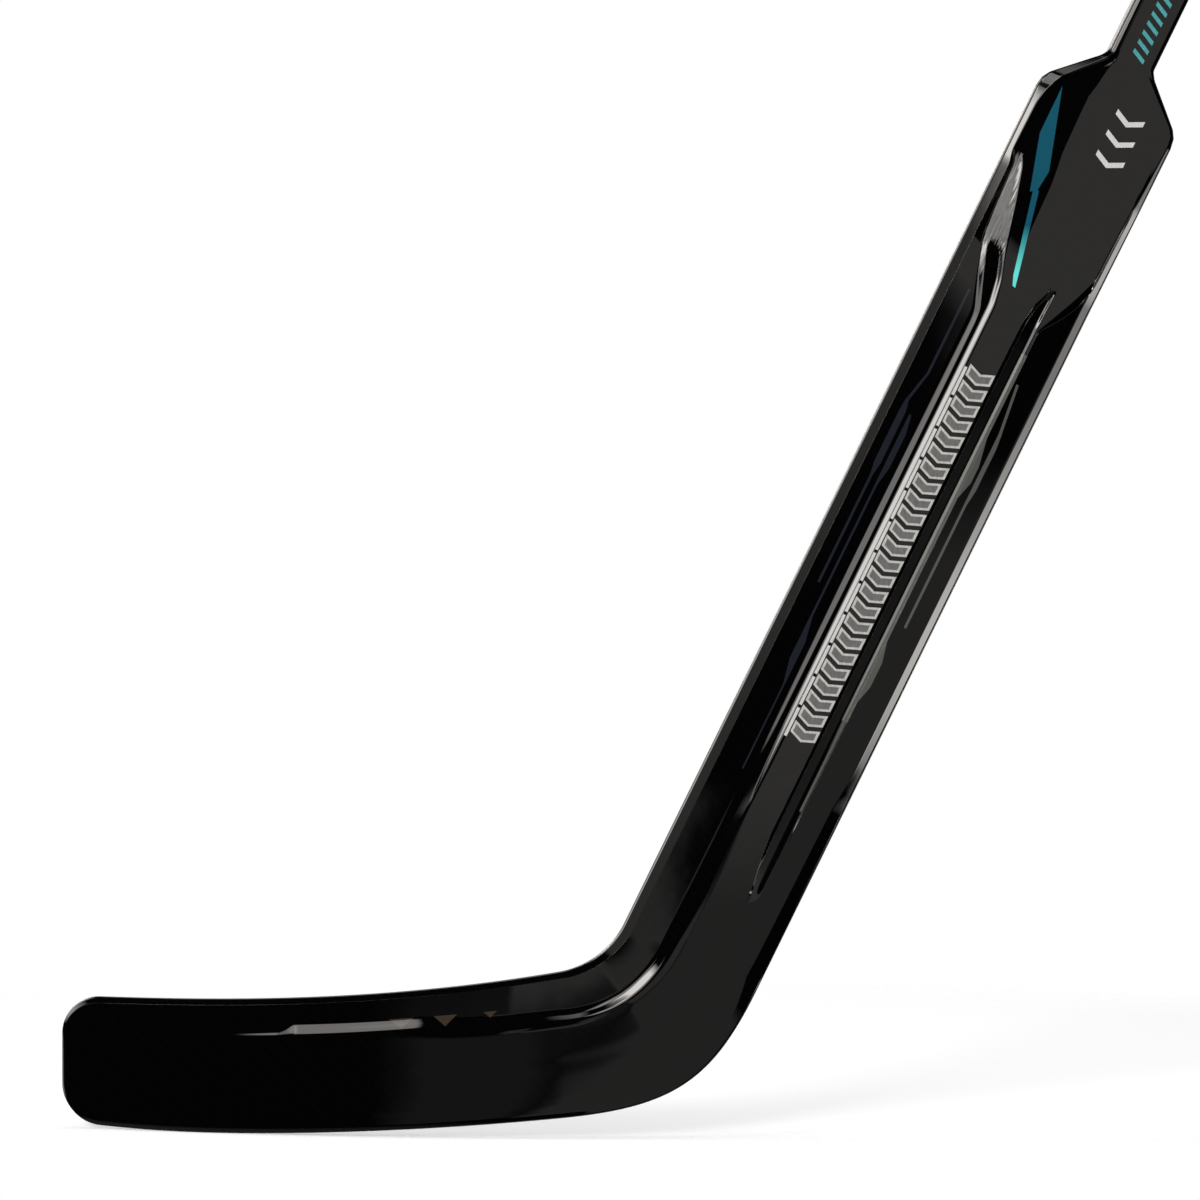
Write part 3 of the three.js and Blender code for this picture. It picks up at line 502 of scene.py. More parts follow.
def put(tree, kind, inputs=None, **settings):
    """A new node with its settings and its inputs."""
    node = tree.nodes.new(kind)
    for name, value in settings.items():
        setattr(node, name, value)
    feed(tree, node, inputs or {})
    return node


def math_node(tree, operation, *values, clamp=False):
    node = put(tree, "ShaderNodeMath", dict(enumerate(values)), operation=operation, use_clamp=clamp)
    return node.outputs[0]


def vector_node(tree, operation, *values):
    return put(tree, "ShaderNodeVectorMath", dict(enumerate(values)), operation=operation)


def mix_colour(tree, share, under, over):
    return put(tree, "ShaderNodeMix", {0: share, 6: under, 7: over}, data_type="RGBA").outputs[2]


def noise(tree, place, scale, detail):
    return put(tree, "ShaderNodeTexNoise", {"Vector": place, "Scale": scale, "Detail": detail}).outputs[0]


def spread(tree, value, low, high, **limits):
    """A value spread from 0 to 1 between two others, which may fall as well as rise."""
    given = {"Value": value, "From Min": low, "From Max": high, **limits}
    return put(tree, "ShaderNodeMapRange", given).outputs[0]


def group(name, inputs, outputs):
    """An empty shader group with its named sockets, what it is given and its output node."""
    tree = bpy.data.node_groups.new(name, "ShaderNodeTree")
    for label, kind, value in inputs:
        socket = tree.interface.new_socket(label, in_out="INPUT", socket_type="NodeSocket" + kind)
        if value is not None:
            socket.default_value = value
    for label, kind in outputs.items():
        tree.interface.new_socket(label, in_out="OUTPUT", socket_type="NodeSocket" + kind)
    return tree, tree.nodes.new("NodeGroupInput").outputs, tree.nodes.new("NodeGroupOutput")


def use(tree, made, inputs):
    return put(tree, "ShaderNodeGroup", inputs, node_tree=made).outputs


# Effects that several finishes share. A tow goes over two others and under two; where it goes under, its
# colour is darker as painted shade
TWILL_REPEAT = 4.0
UNDER_PAINTED_SHADE = 0.4

# The stretch of the noise that grain takes as its whole range
GRAIN_LOW, GRAIN_HIGH = 0.35, 0.65


def make_ripple():
    """Slow waves of the laminate under the lacquer, and the lacquer's own fine peel."""
    tree, given, result = group(
        "lacquer_ripple",
        [
            ("Place", "Vector", None),
            ("Wave Size", "Float", 0.02),
            ("Wave Height", "Float", 0.00001),
            ("Peel Size", "Float", 0.0015),
            ("Peel Height", "Float", 0.000001),
            ("Streak Height", "Float", 0),
        ],
        {"Normal": "Vector"},
    )
    heights = []
    for size, height in (("Wave Size", "Wave Height"), ("Peel Size", "Peel Height")):
        scale = math_node(tree, "DIVIDE", 1.0, given[size])
        waves = noise(tree, given["Place"], scale, 1.0)
        heights.append(math_node(tree, "MULTIPLY", waves, given[height]))
    total = math_node(tree, "ADD", math_node(tree, "ADD", *heights), given["Streak Height"])
    bump = put(tree, "ShaderNodeBump", {"Strength": 1.0, "Distance": 1.0, "Height": total})
    feed(tree, result, {"Normal": bump.outputs[0]})
    return tree


def make_weave_and_sheen():
    """Twill of flat tows: a colour and a height that repeat across the cloth. The colour is lighter on
    each tow's crown, a painted sheen, and darker where a tow passes under, a painted shade.
    """
    tree, given, result = group(
        "laminate_weave_and_painted_sheen",
        [
            ("Place", "Vector", None),
            ("Tow Width", "Float", 0.002),
            ("Dark", "Color", (0.004, 0.004, 0.004, 1)),
            ("Light", "Color", (0.01, 0.01, 0.01, 1)),
        ],
        {"Colour": "Color", "Height": "Float"},
    )
    scale = math_node(tree, "DIVIDE", 1.0, given["Tow Width"])
    scaled = put(tree, "ShaderNodeVectorMath", {0: given["Place"], "Scale": scale}, operation="SCALE")
    split = put(tree, "ShaderNodeSeparateXYZ", {0: scaled.outputs[0]})
    column = math_node(tree, "FLOOR", split.outputs[0])
    row = math_node(tree, "FLOOR", split.outputs[2])
    shifted = math_node(tree, "ADD", column, row)
    phase = math_node(tree, "ABSOLUTE", math_node(tree, "MODULO", shifted, TWILL_REPEAT))
    over = math_node(tree, "LESS_THAN", phase, TWILL_REPEAT / 2 - 0.5)
    along = math_node(tree, "FRACT", split.outputs[2])
    across = math_node(tree, "FRACT", split.outputs[0])
    chosen = put(tree, "ShaderNodeMix", {0: over, 2: along, 3: across}).outputs[0]
    hump = math_node(tree, "PINGPONG", chosen, 0.5)
    height = math_node(tree, "MULTIPLY", hump, 2.0)
    # Painted shade on the tows that pass under, and a painted sheen that is lightest on each tow's crown
    shade = math_node(tree, "MULTIPLY_ADD", over, 1 - UNDER_PAINTED_SHADE, UNDER_PAINTED_SHADE)
    tone = math_node(tree, "MULTIPLY", height, shade)
    colour = mix_colour(tree, tone, given["Dark"], given["Light"])
    feed(tree, result, {"Colour": colour, "Height": height})
    return tree


def make_grain():
    """Cloudy grain of foam, resin, rubber, wood or ink, drawn out along one axis by its stretch."""
    tree, given, result = group(
        "cloudy_grain",
        [
            ("Place", "Vector", None),
            ("Size", "Float", 0.002),
            ("Stretch", "Vector", (1, 1, 1)),
            ("Dark", "Color", (0.1, 0.1, 0.1, 1)),
            ("Light", "Color", (0.2, 0.2, 0.2, 1)),
        ],
        {"Colour": "Color", "Height": "Float"},
    )
    drawn = vector_node(tree, "MULTIPLY", given["Place"], given["Stretch"]).outputs[0]
    scale = math_node(tree, "DIVIDE", 1.0, given["Size"])
    sharp = spread(tree, noise(tree, drawn, scale, 3.0), GRAIN_LOW, GRAIN_HIGH)
    colour = mix_colour(tree, sharp, given["Dark"], given["Light"])
    feed(tree, result, {"Colour": colour, "Height": sharp})
    return tree


def make_cut():
    """One on the inner side of the line from Start to End on the print map, else zero."""
    tree, given, result = group(
        "print_cut",
        [
            ("Place", "Vector", None),
            ("Start", "Vector", (0, 0, 0)),
            ("End", "Vector", (0, 1, 0)),
            ("Softness", "Float", 0.00015),
        ],
        {"Mask": "Float"},
    )
    line = vector_node(tree, "SUBTRACT", given["End"], given["Start"]).outputs[0]
    unit = vector_node(tree, "NORMALIZE", line).outputs[0]
    aside = vector_node(tree, "CROSS_PRODUCT", (0, 0, 1), unit).outputs[0]
    away = vector_node(tree, "SUBTRACT", given["Place"], given["Start"]).outputs[0]
    distance = vector_node(tree, "DOT_PRODUCT", away, aside).outputs["Value"]
    scaled = math_node(tree, "DIVIDE", distance, given["Softness"])
    feed(tree, result, {"Mask": math_node(tree, "ADD", scaled, 0.5, clamp=True)})
    return tree


RIPPLE, WEAVE_AND_SHEEN, GRAIN, CUT = make_ripple(), make_weave_and_sheen(), make_grain(), make_cut()


def print_patch(tree, place, corners):
    """The mask of a convex printed patch. Its corners (across, travel) in mm go round one way."""
    mask = None
    for start, end in zip(corners, corners[1:] + corners[:1]):
        ends = {"Start": (start[0] * MM, start[1] * MM, 0), "End": (end[0] * MM, end[1] * MM, 0)}
        side = use(tree, CUT, {"Place": place, **ends})["Mask"]
        mask = side if mask is None else math_node(tree, "MULTIPLY", mask, side)
    return mask


def all_patches(tree, place, patches):
    total = None
    for corners in patches:
        mask = print_patch(tree, place, corners)
        total = mask if total is None else math_node(tree, "MAXIMUM", total, mask)
    return total


# Finishes

def finish_of(name):
    """A new material with its tree, its surface node and the place on the object."""
    material = bpy.data.materials.new(name)
    material.use_nodes = True
    tree = material.node_tree
    place = put(tree, "ShaderNodeTexCoord").outputs["Object"]
    return material, tree, tree.nodes["Principled BSDF"], place


# The teal flash: a leaf in the pocket and the thin stem that runs from it onto the plateau
TEAL_LEAF = [(-30.2, 71.5), (-15, 121.4), (-16.3, 134.5), (-20, 137), (-30, 102.5)]
TEAL_STEM = [(-18.9, 134.5), (-15.3, 134.5), (-3.9, 186.5), (-2.6, 192.8), (-4.6, 192.3), (-6.9, 186.5)]
TEAL_FADE_START, TEAL_FADE_END = 156, 184

# Pinstripes in a tone of the black, with a broad stretch in each
INNER_STRIPES = [
    [(-27.4, 205), (-25.8, 205), (-25.8, 262), (-27.4, 262)],
    [(-27.4, 261), (-25.8, 261), (-30, 281), (-31.8, 281)],
    [(-31.8, 280), (-30, 280), (-28.4, 288), (-28.4, 322),
     (-29.6, 330), (-31.2, 330), (-32.4, 322), (-32.4, 288)],
    [(-31.2, 329), (-29.6, 329), (-29.6, 402), (-31.2, 402)],
    [(-25.9, 288), (-24.5, 288), (-22.4, 300), (-22.4, 322), (-24.5, 334), (-25.9, 334)],
    [(-25.9, 333), (-24.5, 333), (-24.5, 424), (-25.9, 424)],
    [(-25.9, 422), (-24.5, 422), (-21.6, 438), (-21.6, 466), (-22.6, 466), (-25.9, 450)],
    [(-22.6, 465), (-21.6, 465), (-21.6, 522), (-22.6, 522)],
]
OUTER_STRIPES = [
    [(18.2, 226), (22, 226), (22, 470), (18.2, 470)],
    [(21.6, 278), (25.2, 298), (25.2, 309), (21.6, 322)],
    [(21.6, 414), (25, 429), (25, 445), (21.6, 458)],
    [(23.6, 244), (25.2, 244), (29, 275), (27.2, 275)],
    [(27.2, 274), (29, 274), (30, 284), (30, 312), (28.8, 322), (27.2, 322)],
    [(27.2, 321), (28.8, 321), (28.8, 404), (27.2, 404)],
    [(19.4, 469), (20.8, 469), (20.8, 530), (19.4, 530)],
]

# Three small triangles along the blade's ridge
RIDGE_TRIANGLES = [
    [(-25.8, out(162)), (-20, out(169.5)), (-25.8, out(177))],
    [(-25.8, out(136)), (-19.4, out(143)), (-25.8, out(150))],
    [(-25.6, out(112)), (-22, out(116)), (-25.6, out(120))],
]

# Streaks that the mould left in the scoop, and where they die out
SCOOP = [(-38, 118), (-33, 118), (-11, 200), (-24, 214), (-38, 150)]
STREAKS_FADE_START, STREAKS_FADE_END = 174, 200
STREAKS_PER_METRE = (620, 34, 0)
STREAK_HEIGHT = 0.11

# Colours of the laminate and of the print that lies in it. The laminate's light colour is the painted
# sheen on the tows' crowns, its dark the painted shade between and under them
LAMINATE_DARK, LAMINATE_LIGHT = (0.001, 0.001, 0.0011, 1), (0.0022, 0.0022, 0.0024, 1)
BLUE_TONE = (0.02, 0.022, 0.032, 1)
OLIVE_TONE = (0.12, 0.124, 0.11, 1)
BROWN_TONE = (0.06, 0.043, 0.028, 1)
TEAL_DEEP, TEAL_BRIGHT = (0.012, 0.115, 0.175, 1), (0.16, 1, 0.92, 1)


def clear_coated_carbon():
    material, tree, surface, place = finish_of("clear_coated_carbon")
    printed = put(tree, "ShaderNodeUVMap", uv_map="print_map").outputs[0]
    # The weave's colour carries a painted sheen on the tows' crowns and painted shade where they pass
    # under
    weave = use(tree, WEAVE_AND_SHEEN, {
        "Place": place,
        "Tow Width": 0.0019,
        "Dark": LAMINATE_DARK,
        "Light": LAMINATE_LIGHT,
    })
    travel = put(tree, "ShaderNodeSeparateXYZ", {0: printed}).outputs[1]
    fade = spread(tree, travel, TEAL_FADE_START * MM, TEAL_FADE_END * MM)
    teal = mix_colour(tree, fade, TEAL_DEEP, TEAL_BRIGHT)
    colour = weave["Colour"]
    for patches, ink in (
        (INNER_STRIPES, BLUE_TONE),
        (OUTER_STRIPES, OLIVE_TONE),
        (RIDGE_TRIANGLES, BROWN_TONE),
        ([TEAL_LEAF, TEAL_STEM], teal),
    ):
        colour = mix_colour(tree, all_patches(tree, printed, patches), colour, ink)
    limits = {"To Max": STREAK_HEIGHT * MM}
    streaked = spread(tree, travel, STREAKS_FADE_END * MM, STREAKS_FADE_START * MM, **limits)
    streaked = math_node(tree, "MULTIPLY", streaked, print_patch(tree, printed, SCOOP))
    drawn = vector_node(tree, "MULTIPLY", printed, STREAKS_PER_METRE).outputs[0]
    centred = math_node(tree, "SUBTRACT", noise(tree, drawn, 1.0, 2.0), 0.5)
    normal = use(tree, RIPPLE, {
        "Place": place,
        "Wave Size": 0.016,
        "Wave Height": 0.000012,
        "Peel Size": 0.0022,
        "Peel Height": 0.0000004,
        "Streak Height": math_node(tree, "MULTIPLY", centred, streaked),
    })["Normal"]
    feed(tree, surface, {
        "Base Color": colour,
        "Normal": normal,
        "Coat Normal": normal,
        "Roughness": 0.4,
        "Specular IOR Level": 0,
        "Coat Weight": 1,
        "Coat Roughness": 0.03,
    })
    return material


def bare_laminate():
    material, tree, surface, place = finish_of("bare_laminate")
    # The weave's colour carries a painted sheen on the tows' crowns and painted shade where they pass
    # under
    weave = use(tree, WEAVE_AND_SHEEN, {
        "Place": place,
        "Tow Width": 0.002,
        "Dark": (0.012, 0.013, 0.014, 1),
        "Light": (0.06, 0.063, 0.068, 1),
    })
    bump = put(tree, "ShaderNodeBump", {"Strength": 0.4, "Distance": 0.0001, "Height": weave["Height"]})
    looks = {"Base Color": weave["Colour"], "Normal": bump.outputs[0], "Roughness": 0.45}
    feed(tree, surface, looks)
    return material


def grained(name, size, stretch, dark, light, roughness, relief):
    material, tree, surface, place = finish_of(name)
    given = {"Place": place, "Size": size, "Stretch": stretch, "Dark": dark, "Light": light}
    grain = use(tree, GRAIN, given)
    bump = put(tree, "ShaderNodeBump", {"Strength": 0.5, "Distance": relief, "Height": grain["Height"]})
    looks = {"Base Color": grain["Colour"], "Normal": bump.outputs[0], "Roughness": roughness}
    feed(tree, surface, looks)
    return material


def print_ink(name, dark, light, metallic):
    """Screen-printed ink under the lacquer, with a faint brushed grain."""
    material, tree, surface, place = finish_of(name)
    grain = use(tree, GRAIN, {
        "Place": place,
        "Size": 0.0012,
        "Stretch": (1, 1, 0.25),
        "Dark": dark,
        "Light": light,
    })
    feed(tree, surface, {
        "Base Color": grain["Colour"],
        "Metallic": metallic,
        "Roughness": 0.35,
        "Coat Weight": 1,
        "Coat Roughness": 0.04,
    })
    return material


# Finishes of cloudy grain: its size and stretch, its dark and light colours, roughness and relief
EVEN = (1, 1, 1)
GRAINED = {
    "moulded_resin": (0.004, EVEN, (0.05, 0.043, 0.035, 1), (0.085, 0.074, 0.06, 1), 0.6, 0.0001),
    "rigid_foam": (0.0012, EVEN, (0.56, 0.5, 0.36, 1), (0.74, 0.68, 0.52, 1), 0.9, 0.0003),
    "soft_rubber": (0.0009, EVEN, (0.012, 0.012, 0.012, 1), (0.022, 0.022, 0.022, 1), 0.65, 0.00008),
    "plug_wood": (0.0016, (1, 1, 0.08), (0.36, 0.2, 0.075, 1), (0.56, 0.34, 0.14, 1), 0.7, 0.0001),
}
FINISHES = {"clear_coated_carbon": clear_coated_carbon(), "bare_laminate": bare_laminate()}
for name, looks in GRAINED.items():
    FINISHES[name] = grained(name, *looks)

SILVER_INK = print_ink("silver_ink", (0.66, 0.64, 0.61, 1), (0.86, 0.84, 0.81, 1), 0.2)
GREY_INK = print_ink("grey_ink", (0.17, 0.165, 0.16, 1), (0.24, 0.235, 0.225, 1), 0.35)
TEAL_INK = print_ink("teal_ink", (0.05, 0.43, 0.45, 1), (0.07, 0.52, 0.53, 1), 0.1)
WHITE_INK = print_ink("white_ink", (0.82, 0.81, 0.78, 1), (0.92, 0.91, 0.89, 1), 0)


# The camera stands square to the front, at the photograph's scale
VIEW_WIDTH = 720
VIEW_DISTANCE = 1900
VIEW_CENTRE_X = -335.1
VIEW_CENTRE_Z = -358.2
SENSOR_WIDTH = 36

camera_data = bpy.data.cameras.new("camera")
camera_data.sensor_width = SENSOR_WIDTH
camera_data.lens = SENSOR_WIDTH * VIEW_DISTANCE / VIEW_WIDTH
camera = add("camera", camera_data)
camera.location = (VIEW_CENTRE_X * MM, (MID_DEPTH - VIEW_DISTANCE) * MM, VIEW_CENTRE_Z * MM)
camera.rotation_euler = (math.pi / 2, 0, 0)
bpy.context.scene.camera = camera

# The body
shell = stick_shell(FINISHES["clear_coated_carbon"])
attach(shell, "root")
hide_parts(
    "shaft_tube", "paddle_front_skin", "paddle_back_skin", "blade_front_skin", "blade_back_skin"
)


# Print on the plateau, the shoulder and the grip, and the butt cap

BAR_INPUTS = {
    "Count": "Int",
    "Pitch": "Float",
    "Width": "Float",
    "Bar": "Float",
    "Thickness": "Float",
    "Slant": "Float",
    "Bend": "Float",
    "Turn": "Vector",
    "Place": "Vector",
    "Finish": "Material",
}


def bars_tree():
    """Bars in a row, straight, slanted, or bent in the middle into chevrons."""
    tree = bpy.data.node_groups.new("bars_in_a_row", "GeometryNodeTree")
    for label, kind in BAR_INPUTS.items():
        tree.interface.new_socket(label, in_out="INPUT", socket_type="NodeSocket" + kind)
    tree.interface.new_socket("Geometry", in_out="OUTPUT", socket_type="NodeSocketGeometry")
    given = tree.nodes.new("NodeGroupInput").outputs
    size = put(tree, "ShaderNodeCombineXYZ", {0: given["Width"], 1: given["Bar"], 2: given["Thickness"]})
    bar = put(tree, "GeometryNodeMeshCube", {
        "Size": size.outputs[0],
        "Vertices X": 3,
        "Vertices Y": 2,
        "Vertices Z": 2,
    })
    place = tree.nodes.new("GeometryNodeInputPosition").outputs[0]
    across = put(tree, "ShaderNodeSeparateXYZ", {0: place}).outputs[0]
    folded = math_node(tree, "ABSOLUTE", across)
    bent = put(tree, "ShaderNodeMix", {0: given["Bend"], 2: across, 3: folded}).outputs[0]
    shift = put(tree, "ShaderNodeCombineXYZ", {1: math_node(tree, "MULTIPLY", bent, given["Slant"])})
    shaped = put(tree, "GeometryNodeSetPosition", {"Geometry": bar.outputs[0], "Offset": shift.outputs[0]})
    step = put(tree, "ShaderNodeCombineXYZ", {1: given["Pitch"]})
    row = put(tree, "GeometryNodeMeshLine", {"Count": given["Count"], "Offset": step.outputs[0]})
    copies = put(tree, "GeometryNodeInstanceOnPoints", {
        "Points": row.outputs[0],
        "Instance": shaped.outputs[0],
    })
    turned = put(tree, "GeometryNodeTransform", {
        "Geometry": copies.outputs[0],
        "Translation": given["Place"],
        "Rotation": given["Turn"],
    })
    whole = put(tree, "GeometryNodeRealizeInstances", {"Geometry": turned.outputs[0]})
    inked = put(tree, "GeometryNodeSetMaterial", {
        "Geometry": whole.outputs[0],
        "Material": given["Finish"],
    })
    feed(tree, tree.nodes.new("NodeGroupOutput"), {0: inked.outputs[0]})
    return tree


BARS = bars_tree()
ON_FRONT = (-math.pi / 2, LEAN, 0)
ON_BUTT_END = (0, LEAN, 0)
FILM_THICKNESS = 0.08


def bars(name, slot, finish, count, pitch, width, bar, thickness, slant, bend, turn, place):
    """One plain piece from the tree of bars, with its sizes in millimetres."""
    piece = add(name, bpy.data.meshes.new(name))
    modifier = piece.modifiers.new("bars", "NODES")
    modifier.node_group = BARS
    values = {
        "Count": count,
        "Pitch": pitch * MM,
        "Width": width * MM,
        "Bar": bar * MM,
        "Thickness": thickness * MM,
        "Slant": float(slant),
        "Bend": float(bend),
        "Turn": turn,
        "Place": tuple(c * MM for c in place),
        "Finish": finish,
    }
    for item in BARS.interface.items_tree:
        if item.in_out == "INPUT":
            modifier[item.identifier] = values[item.name]
    graph = bpy.context.evaluated_depsgraph_get()
    made = bpy.data.meshes.new_from_object(piece.evaluated_get(graph))
    piece.modifiers.clear()
    piece.data = made
    made.name = name
    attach(piece, "root")


def film(name, finish, count, pitch, width, bar, slant, bend, across, travel, lift):
    """Print on the flat front: a row of thin closed bars, sunk into the body but for their lift."""
    x, z = on_stick(travel, across)
    place = (x, FILM - lift + FILM_THICKNESS / 2, z)
    sizes = (count, pitch, width, bar, FILM_THICKNESS, slant, bend)
    bars(name, "clear_coated_carbon", finish, *sizes, ON_FRONT, place)


# Rows of print: count, pitch, width and breadth of a bar, slant, bend, place across and along, lift
PRINTS = [
    ("chevron_frames", SILVER_INK, 24, 10.3, 16.4, 7.4, -0.4, 1, 1.7, 252, 0.025),
    ("chevron_fills", GREY_INK, 24, 10.3, 13.4, 4.4, -0.4, 1, 1.7, 252, 0.05),
    # The plateau dashes print the letters' left bars, and their white ink, brighter than silver, is also a
    # painted highlight of the ridge beside them
    ("plateau_dashes_and_highlight", WHITE_INK, 12, 20.6, 1.8, 18.6, 0, 0, -8.1, 257.2, 0.025),
    ("shoulder_chevrons", WHITE_INK, 3, 13.5, 18, 3.4, -0.5, 1, 14.5, 76, 0.03),
    ("grip_slashes", TEAL_INK, 7, 6.2, 8.6, 2.6, 0.5, 0, 2.7, -1, 0.03),
]
for row in PRINTS:
    film(*row)


# Levels of the butt cap: inset from the shaft's outline, distance beyond the shaft's end
SHAFT_WALL = 2
CAP_LEVELS = [
    (SHAFT_WALL + 0.1, -12),
    (SHAFT_WALL + 0.1, 0.02),
    (0.45, 0.02),
    (0.45, 0.5),
    (0.02, 0.62),
    (0, 0.8),
    (0, 2.7),
    (0.08, 3.15),
    (0.34, 3.6),
    (0.75, 3.88),
    (1.2, 4),
    (2.6, 4),
    (2.85, 3.9),
    (3, 3.2),
]
CAP_RING_STEPS = 9
LEAST_CAP_CORNER = 0.7
SHARP_ANGLE = math.radians(40)

# The two bent ribs on the cap's sunk end
CAP_RIB_COUNT = 2
CAP_RIB_PITCH = 3.6
CAP_RIB_WIDTH = 21
CAP_RIB_BREADTH = 1.2
CAP_RIB_HEIGHT = 0.7
CAP_RIB_SLANT = 0.12
CAP_RIB_LEVEL = 3.4


def rounded_ring(inset):
    """The shaft's rounded outline (across, depth), drawn in by an inset."""
    radius = max(SHAFT_CORNER - inset, LEAST_CAP_CORNER)
    half_width = SHAFT_WIDTH / 2 - inset - radius
    half_depth = SHAFT_THICKNESS / 2 - inset - radius
    points = []
    for quarter, (side, face) in enumerate(((1, 1), (-1, 1), (-1, -1), (1, -1))):
        for turn in np.linspace(quarter, quarter + 1, CAP_RING_STEPS) * math.pi / 2:
            across = side * half_width + radius * math.cos(turn)
            points.append((across, face * half_depth + radius * math.sin(turn)))
    return points


def butt_cap(finish):
    """The cap with its spigot in the bore, a shadow groove, rounded edges and a sunk end."""
    vertices, faces = [], []
    for inset, beyond in CAP_LEVELS:
        for across, depth in rounded_ring(inset):
            x, z = on_stick(SHAFT_TOP - beyond, across)
            vertices.append((x * MM, (MID_DEPTH + depth) * MM, z * MM))
    ring = len(vertices) // len(CAP_LEVELS)
    for level in range(len(CAP_LEVELS) - 1):
        for k in range(ring):
            a, b = level * ring + k, level * ring + (k + 1) % ring
            faces.append((a, b, b + ring, a + ring))
    faces.append(tuple(range(ring - 1, -1, -1)))
    faces.append(tuple(range(len(vertices) - ring, len(vertices))))
    piece = add_mesh("butt_cap_rubber", vertices, faces, finish)
    piece.data.set_sharp_from_angle(angle=SHARP_ANGLE)
    return piece


cap = butt_cap(FINISHES["soft_rubber"])
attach(cap, "root")
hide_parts("butt_cap")

x, z = on_stick(SHAFT_TOP - CAP_RIB_LEVEL, 0)
first_rib = (x, MID_DEPTH - CAP_RIB_PITCH * (CAP_RIB_COUNT - 1) / 2, z)
bars(
    "butt_cap_ribs", "soft_rubber", FINISHES["soft_rubber"],
    CAP_RIB_COUNT, CAP_RIB_PITCH, CAP_RIB_WIDTH, CAP_RIB_BREADTH, CAP_RIB_HEIGHT, CAP_RIB_SLANT, 1,
    ON_BUTT_END, first_rib,
)

# The pieces inside keep their solids and take their own finish
slots = {part["node"]: part["material_slot"] for part in frame["record"]["subparts"]}
for name, node in frame["nodes"].items():
    node.data.materials.clear()
    node.data.materials.append(FINISHES[slots[name]])


# The studio

def lamp(name, place, target, size, radiance):
    """A soft rectangular lamp of one radiance. The polish sees the room's cards, not the lamps."""
    data = bpy.data.lights.new(name, "AREA")
    data.shape = "RECTANGLE"
    data.size, data.size_y = size
    data.energy = radiance * math.pi * size[0] * size[1]
    made = add(name, data)
    made.location = place
    made.rotation_euler = (Vector(place) - Vector(target)).to_track_quat("Z", "Y").to_euler()
    made.visible_camera = False
    made.visible_glossy = False


CENTRE = (VIEW_CENTRE_X * MM, 0, VIEW_CENTRE_Z * MM)
lamp("left_softbox", (-1.6, -2.0, 0.9), CENTRE, (1.2, 0.9), 8)
lamp("top_softbox", (-0.4, 0.2, 1.5), CENTRE, (1.3, 1.0), 4)


# The floor, in metres: its middle behind the stick, its half widths, and the shares of them
# between which it fades out. In front it fades out close to the stick, along the blade's bow
FLOOR_CENTRE = Vector((CENTRE[0], 0.3, cad_box[0].z))
FLOOR_REACH = (0.9, 0.5, 1)
FLOOR_FADE_SHARES = (0.72, 0.98)
FLOOR_FRONT_FADE = (0.016, 0.002)
FLOOR_SIDES = 96
FLOOR_GLOW = 0.2


def floor():
    """A pale floor that fades out into the white background and keeps the shadow."""
    ring = []
    for turn in np.arange(FLOOR_SIDES) * 2 * math.pi / FLOOR_SIDES:
        aside = Vector((FLOOR_REACH[0] * math.cos(turn), FLOOR_REACH[1] * math.sin(turn), 0))
        ring.append(FLOOR_CENTRE + aside)
    material, tree, surface, place = finish_of("pale_floor")
    away = vector_node(tree, "SUBTRACT", place, tuple(FLOOR_CENTRE)).outputs[0]
    shares = vector_node(tree, "DIVIDE", away, FLOOR_REACH).outputs[0]
    distance = vector_node(tree, "LENGTH", shares).outputs["Value"]
    around = spread(tree, distance, *FLOOR_FADE_SHARES)
    spot = put(tree, "ShaderNodeSeparateXYZ", {0: place}).outputs
    past = math_node(tree, "SUBTRACT", (HEEL[0] - BOW_START) * MM, spot[0])
    share = math_node(tree, "DIVIDE", past, (BLADE_LENGTH - BOW_START) * MM, clamp=True)
    bow = math_node(tree, "MULTIPLY", math_node(tree, "MULTIPLY", share, share), BLADE_BOW * MM)
    front = spread(tree, math_node(tree, "SUBTRACT", spot[1], bow), *FLOOR_FRONT_FADE)
    path = put(tree, "ShaderNodeLightPath").outputs
    seen = math_node(tree, "MAXIMUM", path["Is Camera Ray"], path["Is Glossy Ray"])
    seen = math_node(tree, "MAXIMUM", seen, path["Is Transmission Ray"])
    feed(tree, surface, {
        "Base Color": (0.95, 0.95, 0.95, 1),
        "Roughness": 1,
        "Specular IOR Level": 0,
        "Emission Color": (1, 1, 1, 1),
        "Emission Strength": math_node(tree, "MULTIPLY", seen, FLOOR_GLOW),
    })
    nothing = put(tree, "ShaderNodeBsdfTransparent").outputs[0]
    fade = math_node(tree, "MAXIMUM", around, front)
    mixed = put(tree, "ShaderNodeMixShader", {0: fade, 1: surface.outputs[0], 2: nothing})
    feed(tree, tree.nodes["Material Output"], {"Surface": mixed.outputs[0]})
    piece = add_mesh("floor", ring, [tuple(range(FLOOR_SIDES))], material)


CARD_LABELS = ("Azimuth", "Elevation", "Left", "Right", "Bottom", "Top", "Softness", "Strength")


def make_card():
    """A soft-edged card in the room, between two azimuths and two elevations in degrees."""
    tree, given, result = group(
        "studio_card",
        [(label, "Float", 0) for label in CARD_LABELS],
        {"Light": "Float"},
    )
    light = given["Strength"]
    for angle, low, high in (("Azimuth", "Left", "Right"), ("Elevation", "Bottom", "Top")):
        for edge, sign in ((low, 1.0), (high, -1.0)):
            past = math_node(tree, "SUBTRACT", given[angle], given[edge])
            share = math_node(tree, "DIVIDE", past, given["Softness"])
            inside = math_node(tree, "MULTIPLY_ADD", share, 0.5 * sign, 0.5, clamp=True)
            light = math_node(tree, "MULTIPLY", light, inside)
    feed(tree, result, {"Light": light})
    return tree


